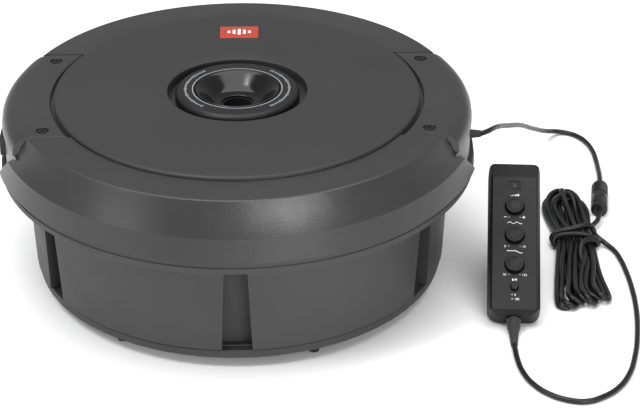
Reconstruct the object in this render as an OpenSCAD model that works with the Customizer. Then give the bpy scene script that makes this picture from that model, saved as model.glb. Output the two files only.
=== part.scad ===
// Round powered car subwoofer that stands in a spare wheel, held by the wheel's bolt
// through its central bore, with a wired remote control on a long lead.
// Millimetres, +Z up. The origin is the foot of the central bore, level with the feet.

/* [Cover] */
// Radius of the cover's lower edge, the widest point
cover_r = 185; // [170:0.5:200]
// Height of the seam between the cover and the tub
seam_z = 105.5; // [100:0.5:108]
// Height of the flat ring round the top
top_z = 147.4; // [145:0.1:152]
// Outer radius of the flat ring
ring_r = 169.3; // [165:0.1:171]
// Wall of the cover
cover_wall = 3; // [2.5:0.1:3.5]
// Radius of the wall in the grip recess under each side cover
grip_r = 178; // [176:0.5:179]
// Half the width of each side cover
side_half = 71; // [60:1:76]
// Radius of the centre plate
plate_r = 139.5; // [130:0.5:141]
// Gap round the centre plate
plate_gap = 0.8; // [0.6:0.1:1.2]

/* [Hub] */
// Radius of the bore for the wheel's bolt
bore_r = 11; // [8:0.5:11.5]
// Wall of the hub tube
tube_wall = 3; // [2:0.5:3.5]
// Radius of the recess round the hub
hub_recess_r = 53.4; // [50:0.2:56]
// Outer radius of the printed ring
hub_ring_r = 47.4; // [44:0.2:48]

/* [Tub] */
// Outer radius of the tub under its rim
tub_top_r = 163; // [161:0.5:167]
// Outer radius of the tub at its foot
tub_foot_r = 159.5; // [157.5:0.5:162]
// Wall of the tub
tub_wall = 3; // [2.5:0.1:4]
// Height of the underside of the tub's floor
floor_z = 17; // [16:0.5:20]
// Number of channels round the tub
channels = 6; // [4:1:8]
// Depth of each channel
channel_depth = 13; // [8:1:14]

/* [Driver] */
// Outer radius of the cone
cone_r = 104; // [98:1:106]
// Radius of the voice coil former
coil_r = 30.9; // [28:0.1:32]
// Travel of the cone each way
travel = 8; // [5:0.5:8]

/* [Remote] */
// Width of the remote
remote_w = 40; // [36:0.5:46]
// Length of the remote
remote_l = 133; // [128:1:140]
// Thickness of the remote
remote_t = 18; // [17:0.5:21]
// Lean of the remote from the floor
remote_lean = 32; // [28:1:36]
// Radius of each knob
knob_r = 7.1; // [6:0.1:7.4]
// Radius of the phase button
button_r = 3; // [2.4:0.1:3.2]

/* [Cords] */
// Diameter of the cords
cord_d = 4.2; // [3.6:0.1:4.4]

/* [Hidden] */
$fn = 96;
e = 0.01;

black = [0.09, 0.09, 0.095];
satin = [0.05, 0.05, 0.055];
steel = [0.62, 0.63, 0.65];
far = 400;

// Cover outline below the flat ring
bevel_r = ring_r + 6.7;
bevel_z = seam_z + 26;
skirt_r = cover_r - 4;
skirt_z = seam_z + 17.5;
seat_r = plate_r + plate_gap;
deck_top = top_z - 1.5;
deck_bottom = deck_top - cover_wall;
well_top = deck_top - 3;
well_bottom = well_top - cover_wall;
well_r = 38;
side_t = 3;
side_gap = 0.8;
side_inner_r = seat_r + 1.5;
side_screw = [143, 59.5];
grip_foot = 41;
edge_z = deck_top + 4;
crown_z = edge_z + 2.6;
badge_size = [31, 21];
badge_y = 101.5;
badge_t = 1.2;
badge_gap = 0.5;

// Tub
rim_r = cover_r - 3.3;
rim_top = seam_z - 1;
rim_z = seam_z - 10.5;
inset_r = 181 - tub_wall - 1;
channel_top_w = 16;
channel_foot_w = 23;
channel_r = tub_foot_r - channel_depth;
screw_r = 2;
pilot = 0.1;
cover_screw_r = (rim_r + tub_top_r) / 2 + 2;
cover_screw_n = 8;
cover_screw_turn = 22.5;
boss_h = 14;

// Base
base_r = 151;
base_lip_r = tub_foot_r - 1.9;
base_inner_r = 140.5;
base_z = 3;
base_screw_r = 143.6;
base_screw_n = 6;
base_head_r = 2.7;
feet_n = 6;
foot_r = 5;
foot_turn = 53;

// Driver, which fires down
cut_r = 129;
flange_r = 138.5;
flange_t = 3.5;
gasket_t = 1;
flange_top = floor_z - gasket_t;
flange_z = flange_top - flange_t;
driver_screw_r = 133.5;
driver_screw_n = 8;
roll_r = 9.3;
roll_t = 1.4;
roll_mid = cone_r + roll_r + 0.7;
frame_in = roll_mid + roll_r + roll_t - 1.4;
basket_in = frame_in + 2.2;
basket_t = 2.6;
ledge_r = 83;
ledge_z = floor_z + 24;
plate_z = ledge_z + 14;
plate_t = 6;
magnet_t = 16;
magnet_r = 64;
gap_in = coil_r - 1.2;
gap_out = coil_r + 1;
magnet_z = plate_z + plate_t;
yoke_z = magnet_z + magnet_t;
yoke_t = 6;
yoke_bore = bore_r + tube_wall + 4;
former_t = 0.7;
former_z = floor_z + 19;
former_top = yoke_z - travel - 1;
spider_t = 1.2;

// Amplifier, hung under the deck
board = [60, 100, 1.6];
board_x = -84;
board_z = deck_bottom - 16;
boss_r = 4;
boss_in = 5;
sink = [84, 42, 22];
sink_y = 84;

// Remote, in its own frame: X across, Y from its lower end, Z out of its face
remote_at = [207.3, -100.7];
remote_turn = -4.1;
remote_lift = 1.5;
split = remote_t / 2;
shell = 2;
corner_r = 9;
draft = 2.4;
knobs_y = [91, 65.8, 40.6];
knob_gap = 0.6;
knob_up = 3.6;
knob_in = 2.4;
shaft_r = 3;
fit = 0.05;
button_y = 21.7;
button_up = 2.6;
button_travel = 2.5;
window_y = 109.4;
window_size = [8.4, 7.6];
board_up = 4;
board_t = 1.6;
pot = [13, 13, 5.6];
relief_r = 4.4;
relief_bend = 28;
relief_out = 13;

// Cords
lead_z = 2.3;
gland_z = 111;
gland_r = 4;
gland_tip = grip_r + 9;
plug_at = [298.7, 102.1, 7];
plug_turn = -8;
plug_l = 20;
socket_l = 19;
connector_r = 6.9;
boot_r = 3.6;
boot_l = 6;
hank_h = 18;
unit_lead_route = [[187, 0, 111], [192, 3, 111.2], [197, 11, 109.4], [202, 24, 104.4], [208, 42, 96], [215, 63, 85.4],
  [223, 86, 74], [231, 110, 61.5], [238, 132, 49], [245, 152, 37], [252, 171, 26], [259, 188, 16],
  [267, 202, 8], [276, 210, 3.5], [285, 209, 2.3], [293, 202, 2.3], [299, 190, 2.3], [302, 176, 2.4],
  [302.8, 158, 2.6], [302.2, 140, 4], [301.1, 122, 6.2], [299.4, 107.1, 7]];
socket_lead_route = [[293.22, 63.15, 7], [292.2, 56, 6.9], [290, 48, 6], [287.4, 42, 6], [284.6, 38, 6]];
remote_lead_route = [[285, 17, 6], [288, 17, 6], [293, 13, 3.5], [298, 5, 2.3], [301, -8, 2.3], [303, -27, 2.3], [304, -52, 2.3],
  [303, -84, 2.3], [299, -118, 2.3], [293, -148, 2.3], [285, -173, 2.3], [275, -190, 2.3], [263, -201, 2.3],
  [250, -207, 2.3], [237, -205, 2.3], [224, -197, 2.3], [214, -184, 2.3], [208, -168, 2.3], [205.6, -153, 3],
  [204.85, -134.95, 3.82]];

// A disc ring between two radii
module ring(outer, inner, z, h) {
  translate([0, 0, z]) difference() {
    cylinder(r = outer, h = h);
    translate([0, 0, -1]) cylinder(r = inner, h = h + 2);
  }
}

module lathe(points) { rotate_extrude($fn = 180) polygon(points); }

// Copies turned round the axis
module around(n, r, turn = 0) { for (i = [0:n - 1]) rotate([0, 0, turn + i * 360 / n]) translate([r, 0, 0]) children(); }

module pins(n, r, pin_r, z, h, turn = 0) { around(n, r, turn) translate([0, 0, z]) cylinder(r = pin_r, h = h, $fn = 24); }

// A pan head screw that points up: head below, thread above
module screw_up(z, length, head_r = 3.5, head_h = 2) {
  translate([0, 0, z - head_h]) cylinder(r = head_r, h = head_h, $fn = 24);
  translate([0, 0, z - e]) cylinder(r = screw_r, h = length, $fn = 24);
}

// ---- Cover ----

module cover_shell() {
  w = cover_wall;
  lathe([[well_r, well_bottom], [well_r, well_top], [hub_recess_r, well_top], [hub_recess_r, deck_top],
    [seat_r, deck_top], [seat_r, top_z], [ring_r - 1, top_z], [ring_r, top_z - 0.4], [bevel_r, bevel_z],
    [skirt_r, skirt_z], [cover_r, seam_z], [cover_r - w, seam_z], [skirt_r - w, skirt_z], [bevel_r - w, bevel_z],
    [ring_r - 2.5, top_z - w], [seat_r + w, top_z - w], [seat_r + w, deck_bottom],
    [hub_recess_r + w, deck_bottom], [hub_recess_r + w, well_bottom]]);
}

// The stepped-in shell under the side covers and behind the grip recesses
module inner_shell() {
  w = cover_wall;
  t = top_z - side_t;
  lathe([[seat_r, deck_bottom], [seat_r, t], [164, t], [172.3, t - 4.4], [grip_r - 2.7, bevel_z],
    [grip_r, bevel_z], [grip_r, seam_z], [grip_r - w, seam_z], [grip_r - w, bevel_z - w],
    [grip_r - 2.7 - w, bevel_z - w], [169.8, t - w - 3], [163, t - w], [seat_r + w, t - w],
    [seat_r + w, deck_bottom - e]]);
}

// The part of the cover that each side cover and grip recess takes, wider by grow
module side_zone(grow = 0) {
  for (s = [-1, 1]) {
    translate([s > 0 ? 90 : -90 - far, -side_half - grow, bevel_z]) cube([far, 2 * (side_half + grow), far]);
    rotate([90, 0, s > 0 ? 90 : -90]) translate([0, 0, 90]) linear_extrude(far)
      polygon([[-side_half - grow, bevel_z + e], [side_half + grow, bevel_z + e], [grip_foot + grow, seam_z - 5],
        [-grip_foot - grow, seam_z - 5]]);
  }
}

module top_cover() {
  color(black) difference() {
    union() {
      difference() {
        cover_shell();
        difference() {
          side_zone();
          cylinder(r = seat_r, h = far);
        }
      }
      intersection() {
        inner_shell();
        side_zone(cover_wall);
      }
      // Side walls of each grip recess and seat
      intersection() {
        difference() {
          cover_solid();
          inner_core();
        }
        difference() {
          side_zone(cover_wall);
          side_zone();
        }
      }
      pins(cover_screw_n, cover_screw_r, 5.4, seam_z, boss_h, cover_screw_turn);
      board_posts(boss_r, board_z + board[2], deck_bottom - board_z - board[2] + 1);
      hub_screw_bosses();
    }
    pins(cover_screw_n, cover_screw_r, screw_r + pilot, seam_z - 1, boss_h - 3, cover_screw_turn);
    board_posts(1.5 + pilot, board_z, 9);
    around(4, hub_screw_at, 45) translate([0, 0, well_bottom - 1]) cylinder(r = screw_r + pilot, h = 5, $fn = 24);
    side_screw_places() translate([0, 0, -9]) cylinder(r = 1.7 + pilot, h = 10, $fn = 24);
    rotate([0, 90, 0]) translate([-gland_z, 0, 160]) cylinder(r = gland_r - 1.2 + pilot, h = 30, $fn = 48);
    socket_place(0.15);
    fuse_place(0.15);
  }
}

module cover_solid() {
  lathe([[seat_r, seam_z], [seat_r, top_z - side_t], [ring_r - 4, top_z - side_t], [bevel_r - 3, bevel_z + 8],
    [bevel_r, bevel_z], [skirt_r, skirt_z], [cover_r, seam_z]]);
}

module inner_core() {
  w = cover_wall;
  t = top_z - side_t;
  lathe([[0, seam_z - 1], [0, t - w], [163, t - w], [169.8, t - w - 3], [grip_r - 2.7 - w, bevel_z - w],
    [grip_r - w, bevel_z - w], [grip_r - w, seam_z - 1]]);
}

// ---- Side covers ----

module side_screw_places() {
  for (x = [-1, 1], y = [-1, 1]) translate([x * side_screw[0], y * side_screw[1], top_z - side_t]) children();
}

module side_cover(s) {
  t = top_z - side_t;
  edge_r = grip_r + 1;
  color(black) difference() {
    intersection() {
      lathe(concat([[side_inner_r, t], [side_inner_r, top_z - 0.8], [side_inner_r + 0.8, top_z]],
        [for (a = [0:15:90]) [edge_r - 15 + 15 * sin(a), top_z - 13 + 13 * cos(a)]],
        [[edge_r, bevel_z + 0.2], [grip_r - 2.6, bevel_z + 0.2], [172.4, t - 4.3], [164, t]]));
      translate([s > 0 ? 90 : -90 - far, -side_half + side_gap, 0]) cube([far, 2 * (side_half - side_gap), far]);
    }
    side_screw_places() {
      translate([0, 0, 1.2]) cylinder(r = 4.8, h = 5, $fn = 48);
      translate([0, 0, -1]) cylinder(r = 1.7 + pilot, h = 5, $fn = 24);
    }
  }
}

module side_cover_left() { side_cover(-1); }

module side_cover_right() { side_cover(1); }

module side_cover_screws() {
  color(satin) side_screw_places() {
    difference() {
      translate([0, 0, 1.2]) cylinder(r = 3.4, h = 1.5, $fn = 32);
      for (a = [0, 90]) rotate([0, 0, a]) translate([-2, -0.45, 1.9]) cube([4, 0.9, 2]);
    }
    translate([0, 0, -7]) cylinder(r = 1.7, h = 8.3, $fn = 24);
  }
}

// ---- Centre plate, badge and hub ----

module centre_plate() {
  z = deck_top;
  dish_r = hub_recess_r + 10;
  color(black) difference() {
    lathe(concat([[hub_recess_r, z], [hub_recess_r, edge_z + 0.5], [hub_recess_r + 0.8, edge_z + 1.1],
      [dish_r - 4, crown_z - 0.7], [dish_r, crown_z - 0.15], [dish_r + 6, crown_z], [plate_r * 0.75, edge_z + 1.5]],
      [for (a = [0:15:90]) [plate_r - 2.4 + 2.4 * sin(a), edge_z - 2.4 + 2.4 * cos(a)]], [[plate_r, z]]));
    translate([0, badge_y, crown_z - badge_t - 0.6])
      linear_extrude(9) square([badge_size[0] + 2 * badge_gap, badge_size[1] + 2 * badge_gap], center = true);
  }
}

module badge() {
  color([0.84, 0.24, 0.1]) translate([-badge_size[0] / 2, badge_y - badge_size[1] / 2, crown_z - badge_t - 0.6])
    cube([badge_size[0], badge_size[1], badge_t]);
}

module hub_ring() {
  top = crown_z - 0.6;
  color(satin) lathe([[hub_ring_r - 3, well_top], [hub_ring_r, well_top], [hub_ring_r, top - 5],
    [hub_ring_r - 0.6, top - 2.9], [hub_ring_r - 2, top - 1.2], [hub_ring_r - 4, top - 0.3], [hub_ring_r - 5.4, top],
    [33.2, top], [32.6, top - 0.5], [32.6, top - 3], [hub_ring_r - 3, top - 3]]);
}

module hub_funnel() {
  top = crown_z - 0.6;
  color([0.02, 0.02, 0.02]) lathe([[bore_r + 1, well_bottom - 2], [bore_r + 1, top - 12.5], [bore_r + 2, top - 12],
    [18, top - 11], [20, top - 10], [30.6, top - 0.6], [31.4, top - 0.1], [32.3, top - 0.3], [32.3, top - 2],
    [30.4, top - 4], [21, top - 12.4], [18, top - 13.6], [bore_r + tube_wall + 1, well_bottom - 1.7],
    [bore_r + tube_wall + 1, well_bottom - 2]]);
}

hub_flange_r = 44;
hub_flange_t = 3;
hub_screw_at = 41;

module hub_tube() {
  color(black) difference() {
    lathe([[bore_r, 0], [bore_r, well_bottom - 2], [well_r, well_bottom - 2], [well_r, well_bottom],
      [hub_flange_r, well_bottom], [hub_flange_r, well_bottom - hub_flange_t],
      [bore_r + tube_wall + 2, well_bottom - hub_flange_t - 2], [bore_r + tube_wall, well_bottom - 8],
      [bore_r + tube_wall, 0]]);
    around(4, hub_screw_at, 45) translate([0, 0, well_bottom - 9]) cylinder(r = screw_r + pilot, h = 10, $fn = 24);
    around(4, hub_screw_at, 45) translate([0, 0, well_bottom - hub_flange_t - 5]) cylinder(r = 3.2, h = 5, $fn = 24);
  }
}

module hub_screw_bosses() {
  around(4, hub_screw_at, 45) translate([0, 0, well_bottom]) cylinder(r = 4, h = cover_wall, $fn = 32);
}

module hub_screws() {
  color(steel) around(4, hub_screw_at, 45) screw_up(well_bottom - hub_flange_t, 5.5, 3, 1.6);
}

// ---- Tub, base and feet ----

module channel_prism(grow = 0, inner = 0, z0 = 0) {
  top = rim_z - 2;
  rotate([90, 0, 90]) translate([0, 0, channel_r - grow - inner]) linear_extrude(tub_top_r + 8 - channel_r)
    polygon([[-channel_top_w / 2 - grow, top + grow], [channel_top_w / 2 + grow, top + grow],
      [channel_foot_w / 2 + grow, floor_z - 2 - z0], [-channel_foot_w / 2 - grow, floor_z - 2 - z0]]);
}

module tub_solid() {
  lathe([[0, floor_z], [tub_foot_r - 0.9, floor_z], [tub_foot_r, floor_z + 0.9],
    [tub_top_r, rim_z - 6], [tub_top_r, rim_z], [rim_r, rim_z], [rim_r, rim_top], [0, rim_top]]);
}

module tub() {
  w = tub_wall;
  color(black) difference() {
    union() {
      difference() {
        lathe([[cut_r, floor_z], [tub_foot_r - 0.9, floor_z], [tub_foot_r, floor_z + 0.9],
          [tub_top_r, rim_z - 6], [tub_top_r, rim_z], [rim_r - 0.6, rim_z], [rim_r, rim_z + 0.6],
          [rim_r, rim_z + 4.6], [rim_r - 0.7, rim_z + 5.1], [rim_r - 0.7, rim_top], [tub_top_r - w, rim_top], [tub_top_r - w, rim_z - 6],
          [tub_foot_r - w, floor_z + 5], [tub_foot_r - w, floor_z + w], [cut_r, floor_z + w]]);
        around(channels, 0, 30) channel_prism(0, 0, 4);
      }
      intersection() {
        tub_solid();
        around(channels, 0, 30) difference() {
          channel_prism(w);
          channel_prism(0, -e, 4);
        }
      }
    }
    pins(cover_screw_n, cover_screw_r, screw_r + pilot, rim_z - 1, 12, cover_screw_turn);
    pins(base_screw_n, base_screw_r, screw_r + pilot, floor_z - 1, 6, base_turn);
    pins(driver_screw_n, driver_screw_r, screw_r + pilot, floor_z - 1, 6, driver_turn);
  }
}

base_turn = 23;
driver_turn = 0;

// A foam ring that seals the tub's rim to the cover
module seal_ring() {
  color([0.2, 0.2, 0.2]) difference() {
    ring(rim_r - 3, tub_top_r - tub_wall, rim_top, 1);
    pins(cover_screw_n, cover_screw_r, screw_r + pilot, rim_top - 1, 3, cover_screw_turn);
  }
}

module cover_screws() { color(steel) around(cover_screw_n, cover_screw_r, cover_screw_turn)
  screw_up(rim_z, seam_z - rim_z + boss_h - 5.5, 3.6, 2); }

module base_ring() {
  color(black) difference() {
    lathe([[base_inner_r, base_z], [base_r - 5, base_z], [base_r - 4, base_z + 0.8], [base_r, floor_z - 8.2],
      [base_lip_r - 0.8, floor_z - 7.6], [base_lip_r, floor_z - 6.8], [base_lip_r, floor_z - 1.5],
      [base_lip_r - 0.6, floor_z - 0.9], [base_r + 0.4, floor_z - 0.9], [base_r, floor_z], [base_inner_r, floor_z]]);
    pins(base_screw_n, base_screw_r, screw_r + pilot, base_z - 1, 20, base_turn);
    pins(base_screw_n, base_screw_r, base_head_r + 0.15, base_z - 1, 5, base_turn);
    around(feet_n, base_screw_r, foot_turn) translate([0, 0, base_z - 1]) cylinder(r = foot_r - 2.6 + pilot, h = 4);
  }
}

module base_screws() { color(steel) around(base_screw_n, base_screw_r, base_turn) screw_up(base_z + 4, 14, base_head_r, 2); }

module feet() {
  color([0.05, 0.05, 0.05]) around(feet_n, base_screw_r, foot_turn) {
    cylinder(r1 = foot_r - 1, r2 = foot_r - 0.6, h = base_z);
    translate([0, 0, base_z - e]) cylinder(r = foot_r - 2.6, h = 2.8);
  }
}

// ---- Driver ----

module driver_frame() {
  z = flange_z;
  color([0.12, 0.12, 0.12]) difference() {
    lathe([[frame_in, z], [flange_r, z], [flange_r, flange_top], [basket_in + basket_t, flange_top],
      [basket_in + basket_t, floor_z + 7], [ledge_r + basket_t, ledge_z - 3], [ledge_r + basket_t, plate_z],
      [gap_out + 4, plate_z], [gap_out + 4, plate_z - 3], [ledge_r, plate_z - 3], [ledge_r, ledge_z],
      [ledge_r - 8, ledge_z], [ledge_r - 8, ledge_z - 2.4], [ledge_r, ledge_z - 3], [basket_in, floor_z + 7 - 1],
      [basket_in, flange_top], [frame_in, flange_top - 1]]);
    around(6, 0, 30) translate([ledge_r + 6, -22, floor_z + 8]) cube([60, 44, ledge_z - floor_z - 8 - 5]);
    around(6, 0, 30) translate([gap_out + 28, -16, ledge_z + 3]) cube([60, 32, plate_z - ledge_z - 7]);
    pins(driver_screw_n, driver_screw_r, screw_r + pilot, z - 1, 8, driver_turn);
  }
}

module driver_gasket() {
  color([0.2, 0.2, 0.2]) difference() {
    ring(flange_r, cut_r + 1, flange_top, gasket_t);
    pins(driver_screw_n, driver_screw_r, screw_r + pilot, flange_top - 1, 4, driver_turn);
  }
}

module driver_screws() {
  color(steel) around(driver_screw_n, driver_screw_r, driver_turn) screw_up(flange_z, flange_t + gasket_t + 4);
}

module front_plate() { color(steel) ring(magnet_r - 5, gap_out, plate_z, plate_t); }

module magnet_ring() { color([0.16, 0.16, 0.17]) ring(magnet_r, gap_out + 4, magnet_z, magnet_t); }

module pole_yoke() {
  color(steel) lathe([[yoke_bore, plate_z], [gap_in, plate_z], [gap_in, yoke_z], [magnet_r - 2, yoke_z],
    [magnet_r, yoke_z + 2], [magnet_r, yoke_z + yoke_t], [yoke_bore, yoke_z + yoke_t]]);
}

module voice_coil() {
  color([0.72, 0.42, 0.2]) lathe([[coil_r - former_t, former_z], [coil_r, former_z], [coil_r, plate_z - 4],
    [coil_r + 0.5, plate_z - 4], [coil_r + 0.5, plate_z + 10], [coil_r, plate_z + 10], [coil_r, former_top],
    [coil_r - former_t, former_top]]);
}

module cone() {
  t = 1.5;
  color([0.1, 0.1, 0.1]) lathe([[coil_r, former_z], [coil_r + 2, former_z], [cone_r - 6, flange_z],
    [cone_r, flange_z], [cone_r, flange_z + t], [cone_r - 5, flange_z + t], [coil_r + 2, former_z + t + 0.6],
    [coil_r, former_z + t + 0.6]]);
}

module dust_ring() {
  inner = bore_r + tube_wall + 1.5;
  color([0.1, 0.1, 0.1]) lathe([[inner, former_z + 3], [inner + 3, former_z + 1.6], [coil_r - former_t - 3, former_z],
    [coil_r - former_t, former_z], [coil_r - former_t, former_z + 1.5], [coil_r - former_t - 3, former_z + 1.5],
    [inner + 3, former_z + 3.1], [inner, former_z + 4.5]]);
}

// Rolled rubber edge, glued under the cone and under the frame
module surround() {
  z = flange_z;
  color([0.05, 0.05, 0.05]) lathe(concat([[cone_r - 5, z - roll_t], [cone_r + 0.7, z - roll_t]],
    [for (a = [0:15:180]) [roll_mid - (roll_r - roll_t) * cos(a), z + (roll_r - roll_t) * sin(a)]],
    [[frame_in + 6, z - roll_t], [frame_in + 6, z], [frame_in, z]],
    [for (a = [180:-15:0]) [roll_mid - (roll_r - 0.1) * cos(a), z + (roll_r - 0.1) * sin(a)]],
    [[cone_r, z], [cone_r - 5, z]]));
}

// Corrugated cloth that centres the voice coil
module spider() {
  wave = 1.6;
  n = 20;
  z = ledge_z;
  x0 = coil_r + 3;
  x1 = ledge_r - 9;
  color([0.8, 0.65, 0.35]) lathe(concat([[coil_r, z], [x0, z]],
    [for (i = [1:n - 1]) [x0 + (x1 - x0) * i / n, z + wave * sin(i * 90) + 0.05]], [[x1, z], [ledge_r, z],
    [ledge_r, z + spider_t], [x1, z + spider_t]],
    [for (i = [n - 1:-1:1]) [x0 + (x1 - x0) * i / n, z + spider_t + wave * sin(i * 90) + 0.05]],
    [[x0, z + spider_t], [coil_r, z + spider_t]]));
}

// ---- Amplifier ----

module board_corners() {
  for (x = [-1, 1], y = [-1, 1])
    translate([board_x + x * (board[0] / 2 - boss_in), y * (board[1] / 2 - boss_in), 0]) children();
}

module board_posts(r, z, h) { board_corners() translate([0, 0, z]) cylinder(r = r, h = h, $fn = 32); }

module amp_board() {
  color([0.05, 0.3, 0.12]) difference() {
    translate([board_x - board[0] / 2, -board[1] / 2, board_z]) cube(board);
    board_posts(1.5 + pilot, board_z - 1, 5);
  }
}

module amp_screws() {
  color(steel) board_corners() {
    translate([0, 0, board_z - 1.6]) cylinder(r = 2.8, h = 1.6, $fn = 24);
    translate([0, 0, board_z - e]) cylinder(r = 1.5, h = 8, $fn = 24);
  }
}

module capacitors() {
  color([0.1, 0.12, 0.2]) for (y = [-1, 1])
    translate([board_x + 12, y * 26, board_z - 26]) cylinder(r = 9, h = 26);
}

module inductor() {
  color([0.7, 0.4, 0.2]) translate([board_x - 10, 0, board_z - 11]) rotate_extrude() translate([9, 0]) square([7, 11]);
}

// A finned block against the underside of the deck
module heatsink() {
  fins = 9;
  base = 5;
  pitch = (sink[0] - 2) / (fins - 1);
  color([0.6, 0.6, 0.62]) difference() {
    translate([-sink[0] / 2, sink_y - sink[1] / 2, deck_bottom - sink[2]]) cube(sink);
    for (i = [0:fins - 2]) translate([-sink[0] / 2 + 2 + i * pitch, sink_y - far / 2, deck_bottom - sink[2] - 1])
      cube([pitch - 2, far, sink[2] - base + 1]);
  }
}

// ---- Sockets in the grip recesses ----

module socket_place(grow) {
  translate([-grip_r - 1.5 - grow, -30 - grow, seam_z + 6 - grow]) cube([16, 34 + 2 * grow, 14 + 2 * grow]);
}

module power_socket() {
  color([0.04, 0.04, 0.04]) difference() {
    socket_place(0);
    translate([-grip_r - 3, -28, seam_z + 8]) cube([9, 30, 10]);
  }
  color(steel) for (i = [0:3]) translate([-grip_r + 7, -25 + i * 7.6, seam_z + 12]) rotate([0, -90, 0])
    cylinder(r = 1.1, h = 7, $fn = 16);
}

module fuse_place(grow) {
  translate([-grip_r - 1.5 - grow, 12 - grow, seam_z + 8 - grow]) cube([14, 18 + 2 * grow, 8 + 2 * grow]);
}

module fuse() { color([0.75, 0.15, 0.1]) fuse_place(0); }

module cable_gland() {
  color([0.04, 0.04, 0.04]) rotate([0, 90, 0]) translate([-gland_z, 0, 0]) rotate_extrude()
    polygon([[cord_d / 2, grip_r - 8], [gland_r + 1, grip_r - 8], [gland_r + 1, grip_r - 3.15],
      [gland_r - 1.2, grip_r - 3.15], [gland_r - 1.2, grip_r], [gland_r, grip_r],
      [gland_r - 0.6, grip_r + 2.4], [cord_d / 2 + 0.6, gland_tip], [cord_d / 2, gland_tip]]);
}

// ---- Remote ----

module remote_yaw() { translate([remote_at[0], remote_at[1], 0]) rotate([0, 0, remote_turn]) children(); }

module remote_place() { remote_yaw() translate([0, 0, remote_lift]) rotate([remote_lean, 0, 0]) children(); }

// The remote's outside, or its inside when inset by a wall
module remote_form(inset, z0, z1) {
  w = remote_w / 2 - inset;
  t = remote_t - inset;
  l = remote_l - inset;
  intersection() {
    translate([0, 0, z0]) linear_extrude(z1 - z0) remote_outline(inset);
    rotate([-90, 0, 0]) mirror([0, 1, 0]) linear_extrude(remote_l)
      polygon([[-w, inset], [w, inset], [w, split + 1], [w - draft + 0.6, t - 1.2], [w - draft - 0.8, t],
        [-w + draft + 0.8, t], [-w + draft - 0.6, t - 1.2], [-w, split + 1]]);
    rotate([90, 0, 90]) translate([0, 0, -remote_w]) linear_extrude(2 * remote_w)
      polygon([[inset, inset], [inset, t - 4 + 0.6 * inset], [0.9 * inset + 3, t], [remote_l - 16, t], [l - 2, t - 5], [l, t - 8],
        [l, inset]]);
  }
}

module remote_outline(inset) {
  w = remote_w - 2 * inset;
  r = corner_r - inset;
  translate([0, inset]) {
    translate([-w / 2, r]) square([w, remote_l - 2 * inset - 2 * r]);
    translate([-w / 2 + r, 0]) square([w - 2 * r, remote_l - 2 * inset]);
    for (x = [-1, 1], y = [r, remote_l - 2 * inset - r]) translate([x * (w / 2 - r), y]) circle(r = r);
  }
}

module relief_path_cut() {
  translate([0, -1, split]) rotate([-90, 0, 0]) cylinder(r = relief_r - 1 + pilot, h = 6);
}

module remote_front_shell() {
  color(black) remote_place() difference() {
    remote_form(0, split, remote_t + 1);
    remote_form(shell, split - 1, remote_t + 1);
    for (y = knobs_y) translate([0, y, 0]) cylinder(r = knob_r + knob_gap, h = far, $fn = 64);
    translate([0, button_y, 0]) cylinder(r = button_r + 0.4, h = far, $fn = 48);
    translate([0, window_y, remote_t - 1.2 + far / 2])
      cube([window_size[0] + 0.2, window_size[1] + 0.2, far], center = true);
    relief_path_cut();
  }
}

module remote_back_shell() {
  color(black) remote_place() difference() {
    union() {
      difference() {
        remote_form(0, 0, split);
        remote_form(shell, shell, split + 1);
      }
      remote_bosses(3, shell - e, board_up - shell);
      intersection() {
        remote_form(0, 0, split);
        union() {
          bracket_bosses(3.4, 4);
        }
      }
    }
    relief_path_cut();
    remote_bosses(1.2 + pilot, 0.6, 9);
    bracket_bosses(1.5 + pilot, 3.4);
  }
}

module remote_bosses(r, z, h) {
  for (x = [-1, 1], y = [13.5, 115]) translate([x * (remote_w / 2 - 8), y, z]) cylinder(r = r, h = h, $fn = 24);
}

module bracket_bosses(r, h) { for (y = [62, 84]) translate([0, y, -e]) cylinder(r = r, h = h, $fn = 24); }

module knob(i) {
  z = remote_t - knob_in;
  h = knob_in + knob_up;
  color(satin) remote_place() translate([0, knobs_y[i], 0]) difference() {
    rotate_extrude() polygon([[0, z], [knob_r, z], [knob_r, z + h - 1], [knob_r - 0.8, z + h], [knob_r - 2, z + h - 0.1],
      [knob_r - 2.6, z + h - 0.5], [0, z + h - 0.5]]);
    translate([0, 0, z - 1]) cylinder(r = shaft_r, h = 4.4, $fn = 32);
  }
}

module knob_gain() { knob(0); }

module knob_bass() { knob(1); }

module knob_filter() { knob(2); }

shaft_z = board_up + board_t + 1.2;

module shaft(i) {
  color(steel) remote_place() translate([0, knobs_y[i], shaft_z])
    cylinder(r = shaft_r, h = remote_t - knob_in + 3.4 - shaft_z, $fn = 32);
}

module shaft_gain() { shaft(0); }

module shaft_bass() { shaft(1); }

module shaft_filter() { shaft(2); }

module potentiometers() {
  color([0.3, 0.3, 0.32]) remote_place() for (y = knobs_y) translate([0, y, board_up + board_t]) difference() {
    translate([-pot[0] / 2, -pot[1] / 2, 0]) cube(pot);
    translate([0, 0, 1]) cylinder(r = shaft_r + fit, h = 9, $fn = 32);
  }
}

stem_r = 1.4;
stem_z = board_up + board_t + 5.6;

module phase_button() {
  color([0.03, 0.03, 0.03]) remote_place() translate([0, button_y, 0]) {
    translate([0, 0, stem_z]) cylinder(r = stem_r, h = 3, $fn = 32);
    translate([0, 0, remote_t - shell - 1.2]) cylinder(r = button_r + 0.9, h = 1, $fn = 48);
    rotate_extrude() polygon([[0, remote_t - shell - 0.9], [button_r, remote_t - shell - 0.9],
      [button_r, remote_t + button_up - 0.6], [button_r - 0.6, remote_t + button_up], [0, remote_t + button_up]]);
    translate([0, 0, stem_z + 2]) cylinder(r = stem_r, h = remote_t - shell - stem_z - 2.5, $fn = 32);
  }
}

module phase_switch() {
  color([0.2, 0.2, 0.22]) remote_place() translate([0, button_y, board_up + board_t]) difference() {
    translate([-3.5, -3.5, 0]) cube([7, 7, 6.2]);
    translate([0, 0, 2]) cylinder(r = stem_r + 0.08, h = 9, $fn = 32);
  }
}

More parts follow.
